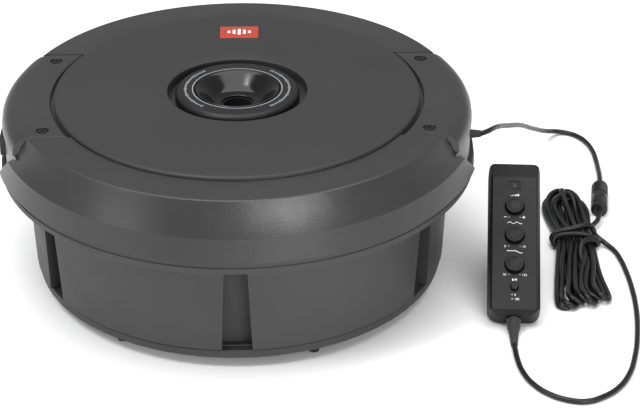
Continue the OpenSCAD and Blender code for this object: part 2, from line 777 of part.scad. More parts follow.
module remote_board() {
  color([0.05, 0.3, 0.12]) remote_place() difference() {
    translate([-remote_w / 2 + shell + 1, 8, board_up]) cube([remote_w - 2 * shell - 2, 110, board_t]);
    remote_bosses(1.2 + pilot, 0, 9);
  }
}

module indicator_window() {
  color([0.02, 0.02, 0.03]) remote_place() translate([0, window_y, remote_t - 1.2 + 0.45])
    cube([window_size[0], window_size[1], 0.9], center = true);
}

// Ribbed rubber boot, moulded round the cord, that bends down from the remote to lie level
module remote_strain_relief() {
  color([0.04, 0.04, 0.04]) {
    remote_place() translate([0, 0, split]) {
      rotate([90, 0, 0]) {
        translate([0, 0, -2.8]) cylinder(r = relief_r - 1, h = 4);
        translate([0, 0, -2.8]) cylinder(r = relief_r - 0.4, h = 0.7);
        cylinder(r = relief_r, h = 3);
      }
      translate([0, -2, relief_bend]) rotate([0, -90, 0]) rotate([0, 0, 180])
        rotate_extrude(angle = remote_lean) translate([relief_bend, 0]) circle(r = relief_r - 0.7);
    }
    relief_end() {
      translate([0, 0, -0.6]) cylinder(r1 = relief_r - 0.9, r2 = relief_r - 1.6, h = relief_out + 0.6);
      for (i = [0:3]) translate([0, 0, 0.4 + i * 3]) cylinder(r = relief_r - 0.8 - i * 0.2, h = 1.6);
    }
  }
}

// Where the relief's bend ends, with +Z along the cord
module relief_end() {
  a = remote_lean;
  out = 2 * cos(a) + relief_bend * sin(a) + split * sin(a);
  down = split * cos(a) - 2 * sin(a) - relief_bend * (1 - cos(a));
  remote_yaw() translate([0, -out, remote_lift + down]) rotate([90, 0, 0]) children();
}

module remote_screws() {
  color(steel) remote_place() for (x = [-1, 1], y = [13.5, 115]) translate([x * (remote_w / 2 - 8), y, 0]) {
    translate([0, 0, board_up + board_t]) cylinder(r = 2, h = 1.4, $fn = 24);
    translate([0, 0, 1]) cylinder(r = 1.2, h = board_up + board_t - 1 + e, $fn = 24);
  }
}

bracket_w = 30;
bracket_t = 3;
bracket_hole_y = [26, 86];
bracket_hole_r = 2.2;

// The prop behind the remote: a foot with two screw holes, two cheeks and a cradle plate
module remote_bracket() {
  gap = 0.02;
  c = cos(remote_lean);
  color(black) {
    difference() {
      union() {
        remote_yaw() translate([-bracket_w / 2, 14, 0]) cube([bracket_w, 84, bracket_t]);
        remote_place() translate([-bracket_w / 2, 50, -bracket_t - gap]) cube([bracket_w, 46, bracket_t]);
        for (x = [-bracket_w / 2 + 1, bracket_w / 2 - bracket_t - 1]) difference() {
          remote_yaw() translate([x, 50 * c + 2, bracket_t - 1]) cube([bracket_t, 44 * c - 4, 60]);
          remote_place() translate([-bracket_w, 0, 1 - bracket_t - gap]) cube([2 * bracket_w, 2 * remote_l, 60]);
        }
      }
      remote_place() translate([0, 0, -bracket_t - 1]) bracket_bosses(1.5 + pilot, 9);
      remote_yaw() for (y = bracket_hole_y) translate([0, y, -1]) cylinder(r = bracket_hole_r, h = 9, $fn = 32);
    }
  }
}

module bracket_screws() {
  color(steel) remote_place() for (y = [62, 84]) translate([0, y, 0]) {
    translate([0, 0, -bracket_t - 1.7]) cylinder(r = 2.8, h = 1.6, $fn = 24);
    translate([0, 0, -bracket_t - 0.2]) cylinder(r = 1.5, h = bracket_t + 3, $fn = 24);
  }
}

// ---- Cords and connectors ----

function unit(v) = v / norm(v);

// Direction of the route at point i
function ahead(p, i) = unit(p[min(i + 1, len(p) - 1)] - p[max(i - 1, 0)]);

// A tube of eight sides swept along points: rings stand across the route, their first corner to its side
module tube(p, r) {
  n = 8;
  m = len(p);
  corners = [for (i = [0:m - 1]) let (d = ahead(p, i), side = unit(cross(d, [0, 0, 1])), up = cross(side, d))
    for (k = [0:n - 1]) p[i] + r * (cos(k * 360 / n) * side + sin(k * 360 / n) * up)];
  sides = [for (i = [0:m - 2], k = [0:n - 1]) [i * n + k, i * n + (k + 1) % n, (i + 1) * n + (k + 1) % n, (i + 1) * n + k]];
  polyhedron(points = corners, faces = concat([[for (k = [n - 1:-1:0]) k]], sides,
    [[for (k = [0:n - 1]) (m - 1) * n + k]]), convexity = 10);
}

// Points between p[i] and p[i + 1] on one smooth curve through the route
function smooth(p, i, t) = let (a = p[max(i - 1, 0)], b = p[i], c = p[i + 1], d = p[min(i + 2, len(p) - 1)])
  0.5 * ((2 * b) + (c - a) * t + (2 * a - 5 * b + 4 * c - d) * t * t + (3 * b - a - 3 * c + d) * t * t * t);

function route(p) = concat([for (i = [0:len(p) - 2], t = [0, 0.5]) smooth(p, i, t)], [p[len(p) - 1]]);

module cord_unit_lead() { color([0.06, 0.06, 0.06]) tube(route(unit_lead_route), cord_d / 2); }

module cord_socket_lead() { color([0.06, 0.06, 0.06]) tube(route(socket_lead_route), cord_d / 2); }

module cord_remote_lead() { color([0.06, 0.06, 0.06]) tube(route(remote_lead_route), cord_d / 2); }

module plug_place() { translate(plug_at) rotate([90, 0, plug_turn]) children(); }

module connector_plug() {
  color([0.05, 0.05, 0.05]) plug_place() rotate_extrude() polygon([[0, -boot_l + 1], [boot_r, -boot_l + 1], [boot_r, 0],
    [connector_r - 0.5, 0], [connector_r, 0.6], [connector_r, plug_l - 0.4], [connector_r - 0.3, plug_l], [0, plug_l]]);
}

module connector_socket() {
  color([0.05, 0.05, 0.05]) plug_place() rotate_extrude() polygon([[0, plug_l], [connector_r - 0.4, plug_l],
    [connector_r - 0.1, plug_l + 0.4], [connector_r - 0.1, plug_l + socket_l - 0.6],
    [connector_r - 0.6, plug_l + socket_l], [0, plug_l + socket_l]]);
}

// The folded spare length: wide at its loops, drawn in at the waist where the cord wraps it
module cord_hank() {
  color([0.06, 0.06, 0.06]) linear_extrude(hank_h) {
    polygon([[247, 93], [252.5, 17], [242.6, -76], [282.4, -76], [286, 17], [284.6, 62], [286.4, 93]]);
    translate([266.7, 93]) circle(r = 19.7);
    translate([262.5, -76]) circle(r = 19.9);
  }
}

top_cover();
centre_plate();
side_cover_left();
side_cover_right();
side_cover_screws();
hub_ring();
hub_funnel();
hub_tube();
hub_screws();
badge();
tub();
seal_ring();
cover_screws();
base_ring();
base_screws();
feet();
driver_frame();
driver_gasket();
driver_screws();
front_plate();
magnet_ring();
pole_yoke();
voice_coil();
cone();
dust_ring();
surround();
spider();
amp_board();
amp_screws();
heatsink();
capacitors();
inductor();
power_socket();
fuse();
cable_gland();
remote_front_shell();
remote_back_shell();
knob_gain();
knob_bass();
knob_filter();
shaft_gain();
shaft_bass();
shaft_filter();
potentiometers();
phase_button();
phase_switch();
remote_board();
indicator_window();
remote_strain_relief();
remote_screws();
remote_bracket();
bracket_screws();
cord_unit_lead();
connector_plug();
connector_socket();
cord_socket_lead();
cord_hank();
cord_remote_lead();
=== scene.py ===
"""Spare wheel subwoofer with its wired remote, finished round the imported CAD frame."""
import math

import bmesh
import bpy
import numpy as np
from bpy.props import FloatProperty, FloatVectorProperty, IntProperty, PointerProperty
from bpy.types import Operator, Panel, PropertyGroup
from mathutils import Matrix, Vector


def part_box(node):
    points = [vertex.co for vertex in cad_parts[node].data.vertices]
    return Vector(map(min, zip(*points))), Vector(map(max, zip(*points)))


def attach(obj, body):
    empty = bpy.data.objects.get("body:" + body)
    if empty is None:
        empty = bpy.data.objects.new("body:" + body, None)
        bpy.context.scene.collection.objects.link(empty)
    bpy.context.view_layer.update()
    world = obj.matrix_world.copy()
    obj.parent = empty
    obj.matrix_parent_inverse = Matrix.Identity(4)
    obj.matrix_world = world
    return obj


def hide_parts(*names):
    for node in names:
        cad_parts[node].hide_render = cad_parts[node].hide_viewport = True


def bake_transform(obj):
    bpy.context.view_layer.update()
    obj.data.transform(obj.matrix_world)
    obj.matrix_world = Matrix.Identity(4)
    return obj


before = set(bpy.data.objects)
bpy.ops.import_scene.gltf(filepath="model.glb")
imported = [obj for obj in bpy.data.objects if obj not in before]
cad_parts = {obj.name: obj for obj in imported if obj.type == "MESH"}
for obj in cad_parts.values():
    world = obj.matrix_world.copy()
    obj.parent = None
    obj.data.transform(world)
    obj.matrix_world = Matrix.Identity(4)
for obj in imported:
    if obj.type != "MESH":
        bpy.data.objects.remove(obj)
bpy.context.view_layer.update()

bl_info = {
    "name": "Spare Wheel Subwoofer",
    "version": (1, 0, 0),
    "blender": (4, 5, 0),
    "location": "View3D > Sidebar > Subwoofer",
    "description": "Finishes a spare wheel subwoofer and its remote round the packed CAD frame",
    "category": "Object",
}

MM = 0.001

# ---------------------------------------------------------------- sizes from the frame


def cad_span(node):
    """The lowest and highest corner of a CAD node, in millimetres."""
    low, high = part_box(node)
    return low / MM, high / MM


HUB_TOP = cad_span("hub_ring")[1].z
HUB_R = cad_span("hub_ring")[1].x
BORE_R = cad_span("hub_tube")[1].x - 33
FLANGE_Z = cad_span("cone")[0].z
CONE_R = cad_span("cone")[1].x

# The remote's own frame in the row frame: X across, Y from its lower end, Z out of its face.
# It leans back by LEAN degrees on its bracket.
LEAN = 32.0
REMOTE = (
    Matrix.Translation((207.3, -100.7, 0))
    @ Matrix.Rotation(math.radians(-4.1), 4, "Z")
    @ Matrix.Translation((0, 0, 1.5))
    @ Matrix.Rotation(math.radians(LEAN), 4, "X")
)
FACE_Z = 18.0
KNOBS = {"gain": 91.0, "bass": 65.8, "filter": 40.6}
BUTTON_Y = 21.7
WINDOW_Y = 109.4

# The connector's own frame: +Z runs from the plug to the socket
CONNECTOR = (
    Matrix.Translation((298.7, 102.1, 7))
    @ Matrix.Rotation(math.radians(-8), 4, "Z")
    @ Matrix.Rotation(math.radians(90), 4, "X")
)
PLUG_L = 20.0
SOCKET_L = 19.0
CONNECTOR_R = 6.9

CORD_D = 4.2
UNIT_LEAD = [
    (187, 0, 111), (192, 3, 111.2), (197, 11, 109.4), (202, 24, 104.4), (208, 42, 96), (215, 63, 85.4),
    (223, 86, 74), (231, 110, 61.5), (238, 132, 49), (245, 152, 37), (252, 171, 26), (259, 188, 16),
    (267, 202, 8), (276, 210, 3.5), (285, 209, 2.3), (293, 202, 2.3), (299, 190, 2.3), (302, 176, 2.4),
    (302.8, 158, 2.6), (302.2, 140, 4), (301.1, 122, 6.2), (299.4, 107.1, 7),
]
SOCKET_LEAD = [(293.22, 63.15, 7), (292.2, 56, 6.9), (290, 48, 6), (287.4, 42, 6)]
REMOTE_LEAD = [
    (288, 17, 6), (293, 13, 3.5), (298, 5, 2.3), (301, -8, 2.3), (303, -27, 2.3), (304, -52, 2.3),
    (303, -84, 2.3), (299, -118, 2.3), (293, -148, 2.3), (285, -173, 2.3), (275, -190, 2.3),
    (263, -201, 2.3), (250, -207, 2.3), (237, -205, 2.3), (224, -197, 2.3), (214, -184, 2.3),
    (208, -168, 2.3), (205.6, -153, 3), (204.85, -134.95, 3.82),
]

# ---------------------------------------------------------------- properties


def linear(hex_colour):
    """An sRGB hex colour as linear RGB."""
    values = [int(hex_colour[i : i + 2], 16) / 255 for i in (1, 3, 5)]
    return tuple(v / 12.92 if v <= 0.04045 else ((v + 0.055) / 1.055) ** 2.4 for v in values)


def colour(label, text, hex_colour):
    return FloatVectorProperty(
        name=label, description=text, subtype="COLOR", size=3, min=0, max=1, default=linear(hex_colour)
    )


def length(label, text, value):
    return FloatProperty(
        name=label, description=text, default=value * MM, min=0, unit="LENGTH", subtype="DISTANCE", precision=4
    )


class SubUnitProperties(PropertyGroup):
    cover_hex: colour("Cover", "Colour of the moulded cover", "#2b2b2c")
    tub_hex: colour("Tub", "Colour of the moulded tub", "#353536")
    badge_hex: colour("Badge", "Colour of the badge", "#a8331b")
    print_hex: colour("Hub print", "Colour of the printed ring on the hub", "#a9abad")
    grain: length("Grain", "Size of the cover's moulded grain, coarse enough to show", 1.5)
    edge: length("Edge", "Rounding of moulded edges", 0.7)


class SubRemoteProperties(PropertyGroup):
    case_hex: colour("Case", "Colour of the remote's case", "#18181a")
    mark_hex: colour("Marks", "Colour of the printed marks", "#e6e6e6")
    flutes: IntProperty(name="Flutes", description="Flutes round each knob", default=36, min=12, max=60)


class SubCordProperties(PropertyGroup):
    cord_hex: colour("Cord", "Colour of the vinyl sheath", "#121213")
    pitch: length("Pitch", "Distance that neighbouring runs of the hank keep", 4.35)


# ---------------------------------------------------------------- node trees


def add(tree, kind, inputs=None, **settings):
    """Adds a node, sets its properties and fills or links its inputs."""
    node = tree.nodes.new("ShaderNode" + kind)
    for name, value in settings.items():
        setattr(node, name, value)
    for name, value in (inputs or {}).items():
        socket = node.inputs[name]
        if isinstance(value, bpy.types.NodeSocket):
            tree.links.new(value, socket)
        elif isinstance(value, (tuple, list)) and len(value) == 3 and socket.type == "RGBA":
            socket.default_value = (*value, 1)
        else:
            socket.default_value = value
    return node


def surface(name, **inputs):
    """A material with one principled shader, whose inputs are named with underscores for spaces."""
    material = bpy.data.materials.new(name)
    material.use_nodes = True
    tree = material.node_tree
    tree.nodes.clear()
    shader = add(tree, "BsdfPrincipled", {k.replace("_", " "): v for k, v in inputs.items()})
    add(tree, "OutputMaterial", {"Surface": shader.outputs[0]})
    return material, tree, shader


def shade(value, factor):
    return tuple(min(1, c * factor) for c in value)


def place(tree):
    return add(tree, "TexCoord").outputs["Object"]


def tone(tree, shader, low, high, scale, detail=3):
    """A slow drift between two colours, so that a big face isn't one flat tone."""
    noise = add(tree, "TexNoise", {"Vector": place(tree), "Scale": scale, "Detail": detail})
    ramp = add(tree, "ValToRGB", {"Fac": noise.outputs["Fac"]})
    ramp.color_ramp.elements[0].position = 0.35
    ramp.color_ramp.elements[1].position = 0.65
    ramp.color_ramp.elements[0].color = (*low, 1)
    ramp.color_ramp.elements[1].color = (*high, 1)
    tree.links.new(ramp.outputs["Color"], shader.inputs["Base Color"])


def roughness(tree, shader, low, high, scale):
    noise = add(tree, "TexNoise", {"Vector": place(tree), "Scale": scale, "Detail": 4})
    spread = add(tree, "MapRange", {"Value": noise.outputs["Fac"], "From Min": 0.3, "From Max": 0.7,
                                    "To Min": low, "To Max": high})
    tree.links.new(spread.outputs["Result"], shader.inputs["Roughness"])


def bump(tree, shader, height, depth, strength=1.0):
    node = add(tree, "Bump", {"Height": height, "Distance": depth * MM, "Strength": strength})
    tree.links.new(node.outputs["Normal"], shader.inputs["Normal"])
    return node


def grained(name, rgb, grain, depth, low=0.42, high=0.55, spread=0.12, specular=0.5):
    """Moulded plastic from a spark eroded tool: fine pits of a given size and a slow tone drift."""
    material, tree, shader = surface(name, IOR=1.5, Specular_IOR_Level=specular)
    tone(tree, shader, shade(rgb, 1 - spread), shade(rgb, 1 + spread), 9)
    roughness(tree, shader, low, high, 22)
    pits = add(tree, "TexNoise", {"Vector": place(tree), "Scale": 1 / (grain * MM), "Detail": 2, "Roughness": 0.6})
    bump(tree, shader, pits.outputs["Fac"], depth, 0.6)
    return material


def moulded_cover(sizes):
    # ABS cover, moulded in a spark eroded tool: soft wide highlights with a fine sparkle
    return grained("moulded_abs_cover", sizes.cover_hex, sizes.grain / MM, 0.16, 0.3, 0.38)


def moulded_plate(sizes):
    # The same ABS in a flatter tool: nearly even charcoal with little sparkle
    return grained("moulded_abs_plate", shade(sizes.cover_hex, 1.02), sizes.grain / MM, 0.07, 0.5, 0.58, 0.05, 0.35)


def moulded_tub(sizes):
    # Polypropylene tub: duller than the cover, with a slight bloom
    return grained("moulded_pp_tub", sizes.tub_hex, sizes.grain / MM, 0.1, 0.5, 0.6, 0.08, 0.4)


def satin_abs(name, rgb, rough, specular=0.5):
    # Satin ABS of small mouldings: tight, clear highlights and a faint orange peel
    material, tree, shader = surface(name, IOR=1.5, Base_Color=rgb, Specular_IOR_Level=specular)
    roughness(tree, shader, rough - 0.04, rough + 0.05, 60)
    skin = add(tree, "TexNoise", {"Vector": place(tree), "Scale": 900, "Detail": 2})
    bump(tree, shader, skin.outputs["Fac"], 0.02, 0.4)
    return material


def polished_black():
    # Polished black ABS of the hub funnel: almost a mirror, with faint polishing lines round it
    material, tree, shader = surface(
        "polished_abs_funnel", Base_Color=linear("#0c0c0d"), IOR=1.52, Specular_IOR_Level=0.35
    )
    roughness(tree, shader, 0.13, 0.22, 45)
    rings = add(tree, "TexWave", {"Vector": place(tree), "Scale": 90, "Distortion": 1.5},
                wave_type="RINGS", rings_direction="Z")
    bump(tree, shader, rings.outputs["Fac"], 0.01, 0.3)
    return material


def enamel(name, rgb, rough=0.28):
    # Stoved enamel on a badge or a printed mark: even colour with a thin clear gloss
    material, tree, shader = surface(name, IOR=1.5, Coat_Weight=0.1, Coat_Roughness=0.2)
    tone(tree, shader, shade(rgb, 0.94), shade(rgb, 1.03), 300)
    roughness(tree, shader, rough, rough + 0.06, 200)
    return material


def ink(name, rgb):
    # Screen printed ink: matt, slightly uneven in density
    material, tree, shader = surface(name, IOR=1.45)
    tone(tree, shader, shade(rgb, 0.82), rgb, 1500, 2)
    roughness(tree, shader, 0.45, 0.6, 400)
    return material


def zinc(name, hex_colour, rough):
    # Zinc plated or blackened steel: metal with a cloudy passivation film
    material, tree, shader = surface(name, Metallic=1.0)
    rgb = linear(hex_colour)
    tone(tree, shader, shade(rgb, 0.8), shade(rgb, 1.1), 260)
    roughness(tree, shader, rough, rough + 0.14, 500)
    scratches = add(tree, "TexNoise", {"Vector": place(tree), "Scale": 1800, "Detail": 3})
    bump(tree, shader, scratches.outputs["Fac"], 0.01, 0.5)
    return material


def extruded_aluminium():
    # Extruded aluminium: pale, with die lines along its length
    material, tree, shader = surface(
        "extruded_aluminium", Metallic=1.0, Anisotropic=0.4, Base_Color=linear("#c9cbcf")
    )
    stretch = add(tree, "Mapping", {"Vector": place(tree), "Scale": (1, 0.02, 1)})
    lines = add(tree, "TexNoise", {"Vector": stretch.outputs[0], "Scale": 1500, "Detail": 2})
    roughness(tree, shader, 0.28, 0.4, 90)
    bump(tree, shader, lines.outputs["Fac"], 0.02, 0.5)
    return material


def rubber(name, hex_colour, grain=0.6, depth=0.04):
    # Moulded rubber: dull with a grey sheen at grazing angles
    material, tree, shader = surface(name, IOR=1.5, Sheen_Weight=0.15, Sheen_Roughness=0.5)
    rgb = linear(hex_colour)
    tone(tree, shader, shade(rgb, 0.8), shade(rgb, 1.2), 60)
    roughness(tree, shader, 0.6, 0.75, 150)
    pits = add(tree, "TexNoise", {"Vector": place(tree), "Scale": 1 / (grain * MM), "Detail": 3})
    bump(tree, shader, pits.outputs["Fac"], depth, 0.5)
    return material


def vinyl_cord(sizes):
    # Soft vinyl sheath: satin, with the strands' lay faintly showing as a long ripple
    material, tree, shader = surface("vinyl_sheath", IOR=1.52, Specular_IOR_Level=0.35)
    tone(tree, shader, shade(sizes.cord_hex, 0.75), shade(sizes.cord_hex, 1.15), 40)
    roughness(tree, shader, 0.33, 0.45, 120)
    ripple = add(tree, "TexNoise", {"Vector": place(tree), "Scale": 420, "Detail": 2})
    bump(tree, shader, ripple.outputs["Fac"], 0.06, 0.35)
    return material


def foam():
    # Closed cell foam gasket: matt with open pores about a millimetre across
    material, tree, shader = surface("closed_cell_foam", Base_Color=linear("#242424"), Roughness=0.9)
    cells = add(tree, "TexVoronoi", {"Vector": place(tree), "Scale": 1 / (1.1 * MM)})
    bump(tree, shader, cells.outputs["Distance"], 0.15, 0.7)
    return material


def coated_pulp():
    # Pressed pulp cone with a black coating: fibres show as short soft streaks
    material, tree, shader = surface("coated_pulp", IOR=1.45)
    tone(tree, shader, linear("#1b1b1c"), linear("#2a2a2b"), 35, 5)
    roughness(tree, shader, 0.5, 0.68, 80)
    fibres = add(tree, "TexNoise", {"Vector": place(tree), "Scale": 450, "Detail": 6, "Distortion": 1.2})
    bump(tree, shader, fibres.outputs["Fac"], 0.12, 0.6)
    return material


def spider_cloth():
    # Phenolic treated cotton: amber, with threads about 0.6 mm apart
    material, tree, shader = surface("treated_cotton", Roughness=0.75, Sheen_Weight=0.2)
    waves = [
        add(tree, "TexWave", {"Vector": place(tree), "Scale": 1 / (0.6 * MM) / 20, "Distortion": 0.3},
            bands_direction=d)
        for d in "XY"
    ]
    both = add(tree, "Math", {0: waves[0].outputs["Fac"], 1: waves[1].outputs["Fac"]}, operation="MULTIPLY")
    tone(tree, shader, linear("#8a6a33"), linear("#b08a4a"), 120)
    bump(tree, shader, both.outputs[0], 0.15, 0.7)
    return material


def ferrite():
    # Sintered ferrite: dark grey, ground faces with a dull sparkle
    material, tree, shader = surface("sintered_ferrite", Metallic=0.2)
    tone(tree, shader, linear("#2b2b2e"), linear("#404044"), 500)
    roughness(tree, shader, 0.5, 0.7, 300)
    pores = add(tree, "TexNoise", {"Vector": place(tree), "Scale": 1200, "Detail": 4})
    bump(tree, shader, pores.outputs["Fac"], 0.05, 0.6)
    return material


def solder_mask():
    # Green solder mask on glass epoxy: gloss over a faint grid of tracks
    material, tree, shader = surface("solder_mask", IOR=1.55, Roughness=0.3, Coat_Weight=0.4)
    bricks = add(tree, "TexBrick", {"Vector": place(tree), "Scale": 90, "Color1": linear("#0f4a24"),
                                    "Color2": linear("#12562b"), "Mortar": linear("#1d7a3e"), "Mortar Size": 0.03})
    tree.links.new(bricks.outputs["Color"], shader.inputs["Base Color"])
    bump(tree, shader, bricks.outputs["Fac"], 0.03, 0.5)
    return material


def enamelled_copper():
    # Enamelled copper wire wound side by side, each turn 1.2 mm
    material, tree, shader = surface("enamelled_copper", Metallic=1.0, Coat_Weight=0.5)
    turns = add(tree, "TexWave", {"Vector": place(tree), "Scale": 1 / (1.2 * MM) / 20}, bands_direction="Z")
    tone(tree, shader, linear("#9a5a2a"), linear("#c67a40"), 200)
    roughness(tree, shader, 0.25, 0.4, 120)
    bump(tree, shader, turns.outputs["Fac"], 0.3, 0.8)
    return material


def tinted(name, hex_colour, low=0.08, specular=0.5):
    # Tinted clear polycarbonate over a dark recess: deep colour under a polished face
    material, tree, shader = surface(name, IOR=1.58, Specular_IOR_Level=specular)
    rgb = linear(hex_colour)
    tone(tree, shader, shade(rgb, 0.7), rgb, 220)
    roughness(tree, shader, low, low + 0.08, 200)
    return material


def powder_coat():
    # Powder coated steel basket: black with a fine orange peel
    material, tree, shader = surface("powder_coated_steel", IOR=1.5, Roughness=0.45)
    tone(tree, shader, linear("#1d1d1e"), linear("#2a2a2b"), 50)
    peel = add(tree, "TexNoise", {"Vector": place(tree), "Scale": 700, "Detail": 1})
    bump(tree, shader, peel.outputs["Fac"], 0.08, 0.4)
    return material


MATERIALS = {}


def make_materials():
    unit = bpy.context.scene.sub_unit
    remote = bpy.context.scene.sub_remote
    cord = bpy.context.scene.sub_cord
    MATERIALS.update(
        cover_plastic=moulded_cover(unit),
        plate_plastic=moulded_plate(unit),
        tub_plastic=moulded_tub(unit),
        satin_black=satin_abs("satin_abs_ring", linear("#18181a"), 0.42, 0.3),
        gloss_black=polished_black(),
        tube_plastic=grained("moulded_abs_tube", linear("#1a1a1b"), 1.0, 0.04),
        badge=enamel("badge_enamel", unit.badge_hex),
        black_steel=zinc("blackened_zinc", "#2e2e30", 0.35),
        zinc_steel=zinc("zinc_plated_steel", "#a9aaac", 0.3),
        foam=foam(),
        rubber=rubber("moulded_rubber", "#1a1a1b"),
        driver_metal=powder_coat(),
        plate_steel=zinc("zinc_plated_plate", "#9c9d9f", 0.35),
        ferrite=ferrite(),
        copper=enamelled_copper(),
        cone_pulp=coated_pulp(),
        spider_cloth=spider_cloth(),
        board_green=solder_mask(),
        heatsink_aluminium=extruded_aluminium(),
        capacitor_sleeve=tinted("shrink_sleeve", "#1c2340"),
        socket_plastic=grained("moulded_nylon", linear("#1a1a1b"), 0.6, 0.03),
        fuse_plastic=tinted("tinted_fuse", "#a3201a"),
        remote_plastic=grained("moulded_abs_remote", remote.case_hex, 0.5, 0.02, 0.44, 0.54, 0.06, 0.22),
        knob_plastic=satin_abs("satin_abs_knob", linear("#131314"), 0.5, 0.25),
        pot_metal=zinc("zinc_diecast", "#8d8e90", 0.4),
        window=tinted("dark_lens", "#0a0a0c", 0.3, 0.15),
        cord_black=vinyl_cord(cord),
        connector_plastic=satin_abs("satin_nylon_connector", linear("#141415"), 0.38, 0.4),
        hub_print=ink("silver_hub_ink", unit.print_hex),
        mark_print=ink("white_mark_ink", remote.mark_hex),
        badge_print=ink("white_badge_ink", linear("#ececec")),
        led=enamel("led_lens", linear("#5a120e"), 0.2),
    )


def dress(piece, slot):
    """Gives a piece its finish in its one material slot."""
    piece.data.materials.clear()
    piece.data.materials.append(MATERIALS[slot])
    return piece


# ---------------------------------------------------------------- mesh helpers


def finish_mesh(bm, name, slot, body="enclosure", at=None, smooth=35, replaces=(), mark=None):
    """Makes an object of a bmesh in millimetres, placed in metres, with soft shading and its finish."""
    bmesh.ops.remove_doubles(bm, verts=bm.verts[:], dist=0.002)
    bmesh.ops.recalc_face_normals(bm, faces=bm.faces[:])
    if at is not None:
        bmesh.ops.transform(bm, matrix=at, verts=bm.verts[:])
    bmesh.ops.scale(bm, vec=(MM, MM, MM), verts=bm.verts[:])
    mesh = bpy.data.meshes.new(name)
    bm.to_mesh(mesh)
    bm.free()
    return settle(mesh, name, slot, body, smooth, replaces, mark)


def settle(mesh, name, slot, body="enclosure", smooth=35, replaces=(), mark=None):
    """Makes an object of a finished mesh, with its material, body and slot. A mark has its own material."""
    piece = bpy.data.objects.new(name, mesh)
    bpy.context.scene.collection.objects.link(piece)
    mesh.shade_smooth()
    mesh.set_sharp_from_angle(angle=math.radians(smooth))
    mesh.materials.append(MATERIALS[mark or slot])
    if body:
        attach(piece, body)
    if replaces:
        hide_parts(*replaces)
    return piece


def lathe(profile, steps=96, closed=True):
    """Spins a profile of (radius, height) round Z. A closed profile gives a ring with a wall all round."""
    bm = bmesh.new()
    verts = [bm.verts.new((r, 0, z)) for r, z in profile]
    edges = [bm.edges.new(pair) for pair in zip(verts, verts[1:])]
    if closed:
        edges.append(bm.edges.new((verts[-1], verts[0])))
    bmesh.ops.spin(bm, geom=verts + edges, cent=(0, 0, 0), axis=(0, 0, 1), angle=math.tau, steps=steps,
                   use_merge=True)
    bmesh.ops.remove_doubles(bm, verts=bm.verts[:], dist=0.001)
    return bm


def arc(cx, cz, r, start, end, steps=6):
    return [
        (cx + r * math.cos(math.radians(start + (end - start) * i / steps)),
         cz + r * math.sin(math.radians(start + (end - start) * i / steps)))
        for i in range(steps + 1)
    ]


def block(bm, size, at=(0, 0, 0), bevel=0.0, segments=2):
    """A small block with rounded edges, added to bm."""
    made = bmesh.ops.create_cube(bm, size=1)["verts"]
    bmesh.ops.scale(bm, vec=size, verts=made)
    if bevel:
        edges = list({e for v in made for e in v.link_edges})
        out = bmesh.ops.bevel(bm, geom=edges, offset=bevel, offset_type="OFFSET", segments=segments,
                              profile=0.5, affect="EDGES", material=-1)
        made = list({v for f in out["faces"] for v in f.verts} | {v for v in made if v.is_valid})
    bmesh.ops.translate(bm, vec=at, verts=made)
    return made


def softened(node, name, slot, width, body="enclosure", angle=35, smooth=40, segments=2, harden=True):
    """A merged copy of a CAD node with its edges rounded, which stands for that node."""
    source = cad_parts[node]
    bm = bmesh.new()
    bm.from_mesh(source.data)
    bmesh.ops.remove_doubles(bm, verts=bm.verts[:], dist=2e-5)
    bmesh.ops.dissolve_limit(bm, angle_limit=math.radians(0.6), verts=bm.verts[:], edges=bm.edges[:])
    mesh = bpy.data.meshes.new(name)
    bm.to_mesh(mesh)
    bm.free()
    piece = settle(mesh, name, slot, body, smooth, replaces=(node,))
    rounder = piece.modifiers.new("rounder", "BEVEL")
    rounder.limit_method = "ANGLE"
    rounder.angle_limit = math.radians(angle)
    rounder.width = width * MM
    rounder.segments = segments
    rounder.profile = 0.5
    rounder.harden_normals = harden
    rounder.use_clamp_overlap = True
    evener = piece.modifiers.new("evener", "WEIGHTED_NORMAL")
    evener.keep_sharp = True
    evener.weight = 100
    return piece


# ---------------------------------------------------------------- cords


def smoothstep(t):
    t = max(0.0, min(1.0, t))
    return t * t * (3 - 2 * t)


def cord_curve(name, points, body="enclosure"):
    """A round cord along points in millimetres, as one open smooth spline."""
    curve = bpy.data.curves.new(name, "CURVE")
    curve.dimensions = "3D"
    curve.bevel_depth = CORD_D / 2 * MM
    curve.bevel_resolution = 3
    curve.resolution_u = 5
    curve.use_fill_caps = True
    spline = curve.splines.new("BEZIER")
    spline.bezier_points.add(len(points) - 1)
    for knot, point in zip(spline.bezier_points, points):
        knot.co = Vector(point) * MM
        knot.handle_left_type = knot.handle_right_type = "AUTO"
    piece = bpy.data.objects.new(name, curve)
    bpy.context.scene.collection.objects.link(piece)
    curve.materials.append(MATERIALS["cord_black"])
    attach(piece, body)
    return piece


# The hank: the spare cord in long loops that stand on edge, fanned at the ends and drawn in at the waist
TOP, WAIST, BOTTOM = 106.0, 17.0, -89.0
LOOP_ORDER = (3, 0, 5, 1, 6, 2, 4)
FIRST_RUN_Y, LAST_RUN_Y = 34, -26
POINT_GAP = 6.0
# Middle height of the loops, highest and lowest middle of a run, and how fast runs may part in one pass
MIDDLE_Z = 9.2
HANK_HIGH, HANK_LOW = 19.5, 2.2
MOST_SHOVE = 0.9
# A bend that bows more than this over two gaps is drawn out, and a span may shrink to this part of its rest
MOST_BOW = 1.9
MOST_SQUEEZE = 0.72


